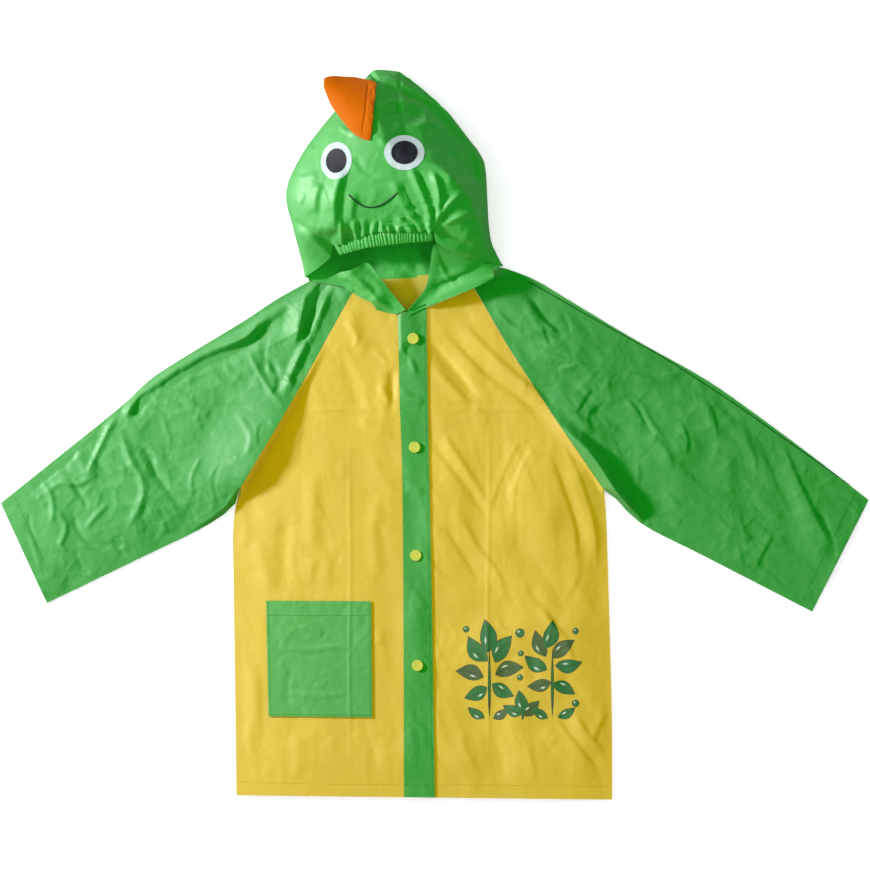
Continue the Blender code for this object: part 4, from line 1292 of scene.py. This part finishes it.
class RAINCOAT_OT_body(bpy.types.Operator):
    """Make the yellow back and the two fronts"""

    bl_idname = "raincoat.body"
    bl_label = "Back and Fronts"

    def execute(self, context):
        # The back's yellow is tinted greener, as painted green light from the hood
        floor_panel("back", "back_panel", "Yellow vinyl, inner side")
        laid_panel("front_right", "right_front", "Yellow vinyl", FRONT_CELL)
        laid_panel(
            "front_left", "left_front", "Yellow vinyl, printed", FRONT_CELL,
            PLACKET_SIDE,
        )
        return {"FINISHED"}


class RAINCOAT_OT_sleeves(bpy.types.Operator):
    """Make the two sleeves, each from a front and a back half"""

    bl_idname = "raincoat.sleeves"
    bl_label = "Sleeves"

    def execute(self, context):
        for side in ("right", "left"):
            back, front = f"{side}_sleeve_back", f"{side}_sleeve_front"
            floor_panel(f"sleeve_back_{side}", back, "Sleeve vinyl")
            laid_panel(f"sleeve_front_{side}", front, "Sleeve vinyl", SLEEVE_CELL)
        # A dark cord on the weld, as painted shade of its groove
        add_cord("left_sleeve_weld", ["left_sleeve_front"], LEFT_WELD_SHADE, 0.5, 0.1, "Weld line")
        return {"FINISHED"}


class RAINCOAT_OT_placket(bpy.types.Operator):
    """Make the placket and the patch pocket"""

    bl_idname = "raincoat.placket"
    bl_label = "Placket and Pocket"

    def execute(self, context):
        for node, name, look, creases in (
            ("placket", "placket_strip", "Trim vinyl", PLACKET_CREASES),
            ("pocket", "patch_pocket", "Pocket vinyl", POCKET_CREASES),
        ):
            laid_panel(node, name, look, TRIM_CELL, creases)
        return {"FINISHED"}


class RAINCOAT_OT_snaps(bpy.types.Operator):
    """Make the four snap caps on the placket"""

    bl_idname = "raincoat.snaps"
    bl_label = "Snaps"

    def execute(self, context):
        for number in range(1, 5):
            self.cap(f"snap_{number}", f"snap_cap_{number}")
        return {"FINISHED"}

    def cap(self, node, name):
        """A turned cap: rounded rim, shallow dish and a low boss in the middle."""
        low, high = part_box(node)
        middle, radius, height = (low + high) / 2, (high.x - low.x) / 2, high.z - low.z
        seat, _ = surface_point(["placket_strip"], middle.x / MM, middle.y / MM)
        place = (middle.x, middle.y, seat.z * MM + height / 2)
        bpy.ops.object.select_all(action="DESELECT")
        bpy.ops.mesh.primitive_cylinder_add(
            vertices=CAP_SIDES, radius=radius, depth=height, location=place
        )
        piece = bpy.context.object
        piece.name = name
        bpy.ops.object.transform_apply(location=True, rotation=True, scale=True)
        bpy.ops.object.mode_set(mode="EDIT")
        self.select_top(piece)
        for share, rise in CAP_STEPS:
            bpy.ops.mesh.inset(thickness=radius * share, depth=rise * MM)
        bpy.ops.mesh.select_all(action="SELECT")
        bpy.ops.mesh.normals_make_consistent(inside=False)
        bpy.ops.object.mode_set(mode="OBJECT")
        applied(
            piece, "BEVEL", width=CAP_ROUND * MM, segments=4, limit_method="ANGLE",
            angle_limit=math.radians(30),
        )
        smoothed(piece, 40)
        finish_piece(piece, "Snap cap", node)

    def select_top(self, piece):
        bpy.ops.mesh.select_all(action="DESELECT")
        bpy.ops.mesh.select_mode(type="FACE")
        mesh = bmesh.from_edit_mesh(piece.data)
        top = max(mesh.faces, key=lambda face: face.calc_center_median().z)
        top.select = True
        mesh.faces.active = top
        bmesh.update_edit_mesh(piece.data)


class RAINCOAT_OT_hood(bpy.types.Operator):
    """Make the two halves of the hood"""

    bl_idname = "raincoat.hood"
    bl_label = "Hood"

    def execute(self, context):
        halves = []
        for side, name in zip(("right", "left"), HOOD_HALVES):
            piece = fine_skin(f"hood_{side}", name)
            halves.append(piece)
            put_points(piece, self.creased(points_of(piece), vectors_of(piece, "normal")))
            if side == "left":
                join_seam(piece, halves[0])
            SURFACES[name] = tree_of(piece)
            finish_piece(piece, "Hood vinyl", f"hood_{side}")
            piece.data.materials.append(look_called("Hood vinyl, inner side"))
            if side == "left":
                for half in halves:
                    self.close(half)
        return {"FINISHED"}

    def creased(self, points, normals):
        """Points of a half with its creases, its broad form and the pull of the brim."""
        x, y, z = points.T
        outward, off_floor = normals[:, 2], eased((z - 1.2) / 6)
        facing = eased((outward + 0.15) / 0.5) * off_floor
        lift = self.relief(x, y)
        form = crease_height(x, y, HOOD_FORM) * eased(outward / 0.4) * off_floor
        to_brim, along = beside_line(x, y, BRIM_LINE)
        at_brim = np.exp(-((to_brim / 5.0) ** 2)) * (along > 0) * (along < 1) * (z > 20)
        inside = eased((-outward - 0.3) / 0.4) * (1 - eased((z - 8) / 6))
        points += normals * (lift * facing)[:, None]
        points[:, 2] += inside * crease_height(x, y, INNER_CREASES)
        points[:, 1] -= BRIM_PULL * at_brim
        points[:, 2] += form + 0.3 * at_brim
        self.reach_neck(points)
        points[:, 2] = np.maximum(points[:, 2], 0.05)
        return points

    def relief(self, x, y):
        """Height of the creases, the crumples, the brim's puckers and the sunk seam."""
        on_flank = eased((x + 60) / 80)
        lift = crease_height(x, y, HOOD_CREASES) + self.brim_puckers(x, y)
        lift += (0.25 + 1.0 * on_flank) * crumpled(x, y, 22, 1.6, 60, 50)
        lift += 0.25 * crumpled(x, y, 9, 1.6, 40, 51)
        lift += (0.3 + 0.9 * on_flank) * crumpled(x + 3 * waves(x, y, 22, 56), y, 17, 2.2, -62, 57)
        lift += small_creases(x, y, "hood")
        from_seam, _ = beside_line(x, y, self.seam_line())
        return lift - SEAM_DEPTH * np.exp(-((from_seam / SEAM_WIDTH) ** 2))

    def close(self, piece):
        """Give a half its thickness, with its own look inside: a lighter green, painted for the
        light that shines through the film.
        """
        count = len(piece.data.polygons)
        given_thickness(piece)
        for face in piece.data.polygons[count : 2 * count]:
            face.material_index = 1

    def reach_neck(self, points):
        """Run the hood's lowest layer a little way under the back panel, to be sewn there."""
        x, y, z = points.T
        from_neck = np.abs(y - np.interp(x, *zip(*NECK_LINE)))
        near = (z < NECK_BAND) & (from_neck < NECK_BAND)
        points[near, 1] -= NECK_TUCK
        points[near, 2] = 0.02

    def seam_line(self):
        """Plan line of the seam on top, between the halves."""
        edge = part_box("hood_right")[1].x / MM
        return ((edge, 222), (edge - 9, 262), (edge - 12, 312), (edge - 7, 390))

    def brim_puckers(self, x, y):
        """Tapering puckers where the elastic draws the brim in, small and large."""
        small, large = (self.puckers(x, y, *sizes) for sizes in PUCKERS)
        return small + large

    def puckers(self, x, y, count, seed, reach, width, height):
        draws = np.random.RandomState(seed)
        total = np.zeros(x.shape)
        line = smooth_line(BRIM_LINE)
        for index in range(count):
            share = (index + 0.5 + 0.5 * (draws.rand() - 0.5)) / count * (len(line) - 1)
            at = int(share)
            foot = line[at] + (line[min(at + 1, len(line) - 1)] - line[at]) * (share - at)
            length = reach[0] + reach[1] * draws.rand()
            lean = 0.7 * (draws.rand() - 0.5) - 0.006 * (foot[0] + 62)
            tip = foot + np.array((length * math.sin(lean), length * math.cos(lean)))
            distance, along = beside_line(x, y, (tuple(foot - (0, 2)), tuple(tip)))
            half = (width[0] + width[1] * draws.rand()) * (1 - 0.4 * along)
            across = np.clip(np.abs(distance) / half, 0, 1)
            rise = height[0] + height[1] * draws.rand()
            total += rise * (1 - across) ** 1.1 * eased((1 - along) / 0.7)
        return total


class RAINCOAT_OT_casing(bpy.types.Operator):
    """Make the gathered elastic casing on the brim"""

    bl_idname = "raincoat.casing"
    bl_label = "Brim Casing"

    def execute(self, context):
        piece = made_fine(copy_of("brim_casing", "gathered_casing"), 4)
        points, normals = points_of(piece), vectors_of(piece, "normal")
        x, y, _ = points.T
        _, along = beside_line(x, y, CASING_LINE)
        lean = 0.006 * waves(x, y, 9, 61)
        phase = (along + lean + 0.020 * waves(along * 100, along * 0, 7, 62)) * math.pi * GATHERS
        depth = 0.65 + 0.4 * waves(x, y, 6, 63)
        gather = np.abs(np.sin(phase)) ** 0.8
        points += normals * ((gather - 0.62) * 1.7 * depth)[:, None]
        at_brim = np.exp(-((beside_line(x, y, BRIM_LINE)[0] / 4.0) ** 2))
        points[:, 1] += BRIM_PULL * at_brim
        points[:, 2] -= 0.5 * at_brim
        points[:, 0] = CASING_MIDDLE + (points[:, 0] - CASING_MIDDLE) * CASING_SPREAD
        put_points(piece, points)
        smoothed(piece, 60)
        finish_piece(piece, "Hood vinyl", "brim_casing")
        return {"FINISHED"}


class RAINCOAT_OT_flaps(bpy.types.Operator):
    """Make the two turned-out flaps at the neck"""

    bl_idname = "raincoat.flaps"
    bl_label = "Neck Flaps"

    def execute(self, context):
        self.flap("right", FLAP_RIGHT_CREASES)
        self.flap("left", FLAP_LEFT_CREASES)
        return {"FINISHED"}

    def flap(self, side, creases):
        """A flap that lies on the fronts at its foot and stands up towards the hood."""
        node = f"neck_flap_{side}"
        piece = fine_skin(node, f"{side}_neck_flap")
        points, normals = points_of(piece), vectors_of(piece, "normal")
        x, y, z = points.T
        if side == "left":
            self.tuck(points)
        else:
            y -= 5 * np.exp(-(((x + 77) / 15) ** 2)) * (1 - eased((z - 6) / 5))
            y += 5 * np.exp(-(((x + 71) / 8) ** 2) - ((y - 182) / 12) ** 2)
        low_down = 1 - eased((z - 7) / 9)
        raise_by = broad_relief(x, y) * (1 - eased((z - 12) / 16))
        for point, near, rise in zip(points, low_down, raise_by):
            seat, _ = surface_point((*FRONTS, "placket_strip"), point[0], point[1])
            settled = seat.z + 1.0 if seat is not None else point[2] + rise
            point[2] = near * settled + (1 - near) * (point[2] + rise)
        relief = crease_height(x, y, creases) + 0.3 * crumpled(x, y, 22, 1.8, -30, 70)
        points += normals * relief[:, None] * 0.8
        put_points(piece, points)
        given_thickness(piece)
        finish_piece(piece, "Hood vinyl", node)

    def tuck(self, points):
        """Draw the left flap's upper edge up under the brim, and set the level of its foot."""
        x, y, _ = points.T
        upper, foot = ([row[:2] for row in rows] for rows in (FLAP_LEFT_TUCK, FLAP_LEFT_FOOT))
        to_upper, along = beside_line(x, y, upper)
        to_foot, from_end = beside_line(x, y, foot)
        share = np.abs(to_foot) / (np.abs(to_foot) + np.abs(to_upper) + 0.01)
        marks, levels = shares_along(foot), [row[2] for row in FLAP_LEFT_FOOT]
        shifts = (-0.1, -0.05, 0, 0.05, 0.1)
        level = np.mean([np.interp(from_end + shift, marks, levels) for shift in shifts], axis=0)
        points[:, 2] += (1 - eased((share - 0.2) / 0.75)) * (level - points[:, 2])
        for axis in range(3):
            moves = [row[2 + axis] for row in FLAP_LEFT_TUCK]
            points[:, axis] += share**2 * np.interp(along, shares_along(upper), moves)


class RAINCOAT_OT_crest(bpy.types.Operator):
    """Make the stuffed crest on the hood"""

    bl_idname = "raincoat.crest"
    bl_label = "Crest"

    def execute(self, context):
        piece = made_fine(copy_of("crest", "stuffed_crest"), 3)
        points, normals = points_of(piece), vectors_of(piece, "normal")
        x, y, _ = points.T
        at_seam = eased((x + 80) / 18)
        wrinkle = facets(x, y / 2.2, 6, 81) ** 2 + 0.6 * waves(x, y, 5, 82)
        points += normals * (0.9 * at_seam * wrinkle + 0.35 * waves(x, y, 16, 83))[:, None]
        points += normals * crease_height(x, y, CREST_CREASES)[:, None]
        points[:, 2] += crease_height(x, y, HOOD_FORM)
        put_points(piece, points)
        smoothed(piece, 70)
        finish_piece(piece, "Crest vinyl", "crest")
        return {"FINISHED"}


class RAINCOAT_OT_face(bpy.types.Operator):
    """Make the eye patches, the pupils and the stitched smile"""

    bl_idname = "raincoat.face"
    bl_label = "Face"

    def execute(self, context):
        for side, lean in (("right", -8.0), ("left", 0.0)):
            self.patch(f"eye_white_{side}", f"{side}_eye_ring", lean, 0.35, "Eye ring")
            self.patch(f"pupil_{side}", f"{side}_pupil", lean, 0.75, "Pupil")
        add_cord("stitched_smile", HOOD_HALVES, SMILE_LINE, 0.8, 0.4, "Smile thread")
        return {"FINISHED"}

    def patch(self, node, name, lean, lift, look):
        """An oval of film laid on the hood."""
        low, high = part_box(node)
        middle, half = (low + high) / 2 / MM, (high - low) / 2 / MM
        rings, spokes = PATCH_RINGS, PATCH_SPOKES
        vertices, faces = [], []
        for ring in range(rings + 1):
            for spoke in range(spokes if ring else 1):
                angle, out = 2 * math.pi * spoke / spokes, ring / rings
                u, v = turned(half.x * out * math.cos(angle), half.y * out * math.sin(angle), -lean)
                seat, normal = surface_point(HOOD_HALVES, middle.x + u, middle.y + v)
                vertices.append((seat + normal * lift) * MM)
        for spoke in range(spokes):
            after = (spoke + 1) % spokes
            faces.append((0, 1 + spoke, 1 + after))
            for ring in range(rings - 1):
                a, b = 1 + ring * spokes, 1 + (ring + 1) * spokes
                faces.append((a + spoke, b + spoke, b + after, a + after))
        piece = add_mesh(name, vertices, faces)
        applied(piece, "SMOOTH", factor=0.5, iterations=4)
        applied(piece, "SOLIDIFY", thickness=PATCH_FILM * MM, offset=0.0)
        smoothed(piece, 50)
        finish_piece(piece, look, node)


class RAINCOAT_OT_stitches(bpy.types.Operator):
    """Make the rows of stitches along hems, cuffs, placket and pocket"""

    bl_idname = "raincoat.stitches"
    bl_label = "Stitches"

    def execute(self, context):
        for name, surfaces, look, line, *sharp in STITCH_ROWS:
            points = [np.array(point, float) for point in line] if sharp else smooth_line(line)
            self.row(context.scene.raincoat_trim, name, surfaces, look, points)
        return {"FINISHED"}

    def row(self, trim, name, surfaces, look, points):
        """Equal stitches on a surface along a plan line, as one piece."""
        step = (trim.stitch_length + trim.stitch_gap) / MM
        vertices, faces = [], []
        carried = 0.0
        for start, end in zip(points, points[1:]):
            length = np.hypot(*(end - start))
            along = (end - start) / length
            while carried < length:
                middle = start + along * carried
                half = along * trim.stitch_length / MM / 2
                self.stitch(vertices, faces, surfaces, middle, half, trim.stitch_radius / MM)
                carried += step
            carried -= length
        piece = add_mesh(name, vertices, faces)
        smoothed(piece, 60)
        finish_piece(piece, look)

    def stitch(self, vertices, faces, surfaces, middle, half, radius):
        """One stitch: a short thread that dips into the film at both ends."""
        seats = [surface_point(surfaces, *(middle + half * where))[0] for where in (-1.0, 0.0, 1.0)]
        if None in seats:
            return
        first, sides = len(vertices), 6
        side_x, side_y = -half[1] / np.hypot(*half), half[0] / np.hypot(*half)
        for where, size, lift in STITCH_STATIONS:
            x, y = middle + half * where
            z = np.interp(where, (-1, 0, 1), [seat.z for seat in seats]) + lift * radius
            for side in range(sides):
                angle = 2 * math.pi * side / sides
                over, up = radius * size * math.cos(angle), radius * size * math.sin(angle)
                vertices.append(Vector((x + side_x * over, y + side_y * over, z + up)) * MM)
        last = len(vertices) - sides
        for ring in range(first, last, sides):
            for side in range(sides):
                after = (side + 1) % sides
                faces.append((ring + side, ring + after, ring + sides + after, ring + sides + side))
        faces.append(tuple(range(first + sides - 1, first - 1, -1)))
        faces.append(tuple(range(last, last + sides)))


class RAINCOAT_OT_stage(bpy.types.Operator):
    """Make the floor, the lights and the camera"""

    bl_idname = "raincoat.stage"
    bl_label = "Stage"

    def execute(self, context):
        studio = context.scene.raincoat_studio
        bpy.ops.object.select_all(action="DESELECT")
        bpy.ops.mesh.primitive_plane_add(size=FLOOR_SIZE, location=(0, 0, FLOOR_LEVEL))
        floor = context.object
        floor.name = "floor"
        look = plain_material("Pale floor", (0.86, 0.86, 0.86), 0.85, 200.0, 0.00002, 0.01)
        shader = look.node_tree.nodes["Principled BSDF"]
        fill_inputs(shader, {"Emission Color": WHITE, "Emission Strength": FLOOR_GLOW})
        floor.data.materials.append(look)
        floor.visible_glossy = False
        world = bpy.data.worlds.new("Studio")
        context.scene.world = world
        world.use_nodes = True
        seen = add_node(world.node_tree, "LightPath", {}).outputs["Is Camera Ray"]
        fill_inputs(world.node_tree.nodes["Background"], {"Color": WHITE, "Strength": seen})
        fill = self.lamp("Fill", "SUN", studio.fill, Vector((0, 0, 3)))
        fill.visible_glossy = False
        fill.data.angle = math.radians(150)
        fill.data.cycles.use_multiple_importance_sampling = False
        turn, rise = math.radians(KEY_TURN), math.radians(KEY_RISE)
        level = math.cos(rise)
        way = Vector((math.cos(turn) * level, math.sin(turn) * level, math.sin(rise)))
        key = self.lamp("Key", "AREA", KEY_POWER * studio.key, way * KEY_DISTANCE)
        key.data.size = KEY_SIZE
        data = bpy.data.cameras.new("Camera")
        data.sensor_width = 36.0
        data.lens = data.sensor_width * studio.camera_height / VIEW_WIDTH
        data.clip_end = 50.0
        camera = linked("Camera", data)
        camera.location = (0.0003, -0.0004, studio.camera_height)
        context.scene.camera = camera
        context.scene.view_settings.view_transform = "Standard"
        return {"FINISHED"}

    def lamp(self, name, kind, energy, place):
        """A lamp at a place, aimed at the middle of the coat and hidden from the camera."""
        lamp = linked(name, bpy.data.lights.new(name, kind))
        lamp.data.energy = energy
        lamp.location = place
        lamp.rotation_euler = place.to_track_quat("Z", "Y").to_euler()
        lamp.visible_camera = False
        return lamp


OPERATORS = (
    RAINCOAT_OT_stage,
    RAINCOAT_OT_body,
    RAINCOAT_OT_sleeves,
    RAINCOAT_OT_placket,
    RAINCOAT_OT_snaps,
    RAINCOAT_OT_hood,
    RAINCOAT_OT_casing,
    RAINCOAT_OT_flaps,
    RAINCOAT_OT_crest,
    RAINCOAT_OT_face,
    RAINCOAT_OT_stitches,
)


class RAINCOAT_PT_panel(bpy.types.Panel):
    bl_idname = "RAINCOAT_PT_panel"
    bl_label = "Raincoat"
    bl_space_type = "VIEW_3D"
    bl_region_type = "UI"
    bl_category = "Raincoat"

    def draw(self, context):
        for settings in SETTINGS:
            group = getattr(context.scene, settings)
            column = self.layout.column(align=True)
            for name in group.__annotations__:
                column.prop(group, name)
        for operator in OPERATORS:
            self.layout.operator(operator.bl_idname)


SETTINGS = {
    "raincoat_vinyl": RaincoatVinyl,
    "raincoat_trim": RaincoatTrim,
    "raincoat_studio": RaincoatStudio,
}
CLASSES = (*SETTINGS.values(), *OPERATORS, RAINCOAT_PT_panel)


def register():
    for each in CLASSES:
        bpy.utils.register_class(each)
    for name, group in SETTINGS.items():
        setattr(bpy.types.Scene, name, bpy.props.PointerProperty(type=group))


def unregister():
    for name in SETTINGS:
        delattr(bpy.types.Scene, name)
    for each in reversed(CLASSES):
        bpy.utils.unregister_class(each)


def main():
    register()
    bpy.ops.raincoat.stage()
    bpy.ops.raincoat.body()
    bpy.ops.raincoat.sleeves()
    bpy.ops.raincoat.placket()
    bpy.ops.raincoat.snaps()
    bpy.ops.raincoat.hood()
    bpy.ops.raincoat.casing()
    bpy.ops.raincoat.flaps()
    bpy.ops.raincoat.crest()
    bpy.ops.raincoat.face()
    bpy.ops.raincoat.stitches()


if __name__ == "__main__":
    main()
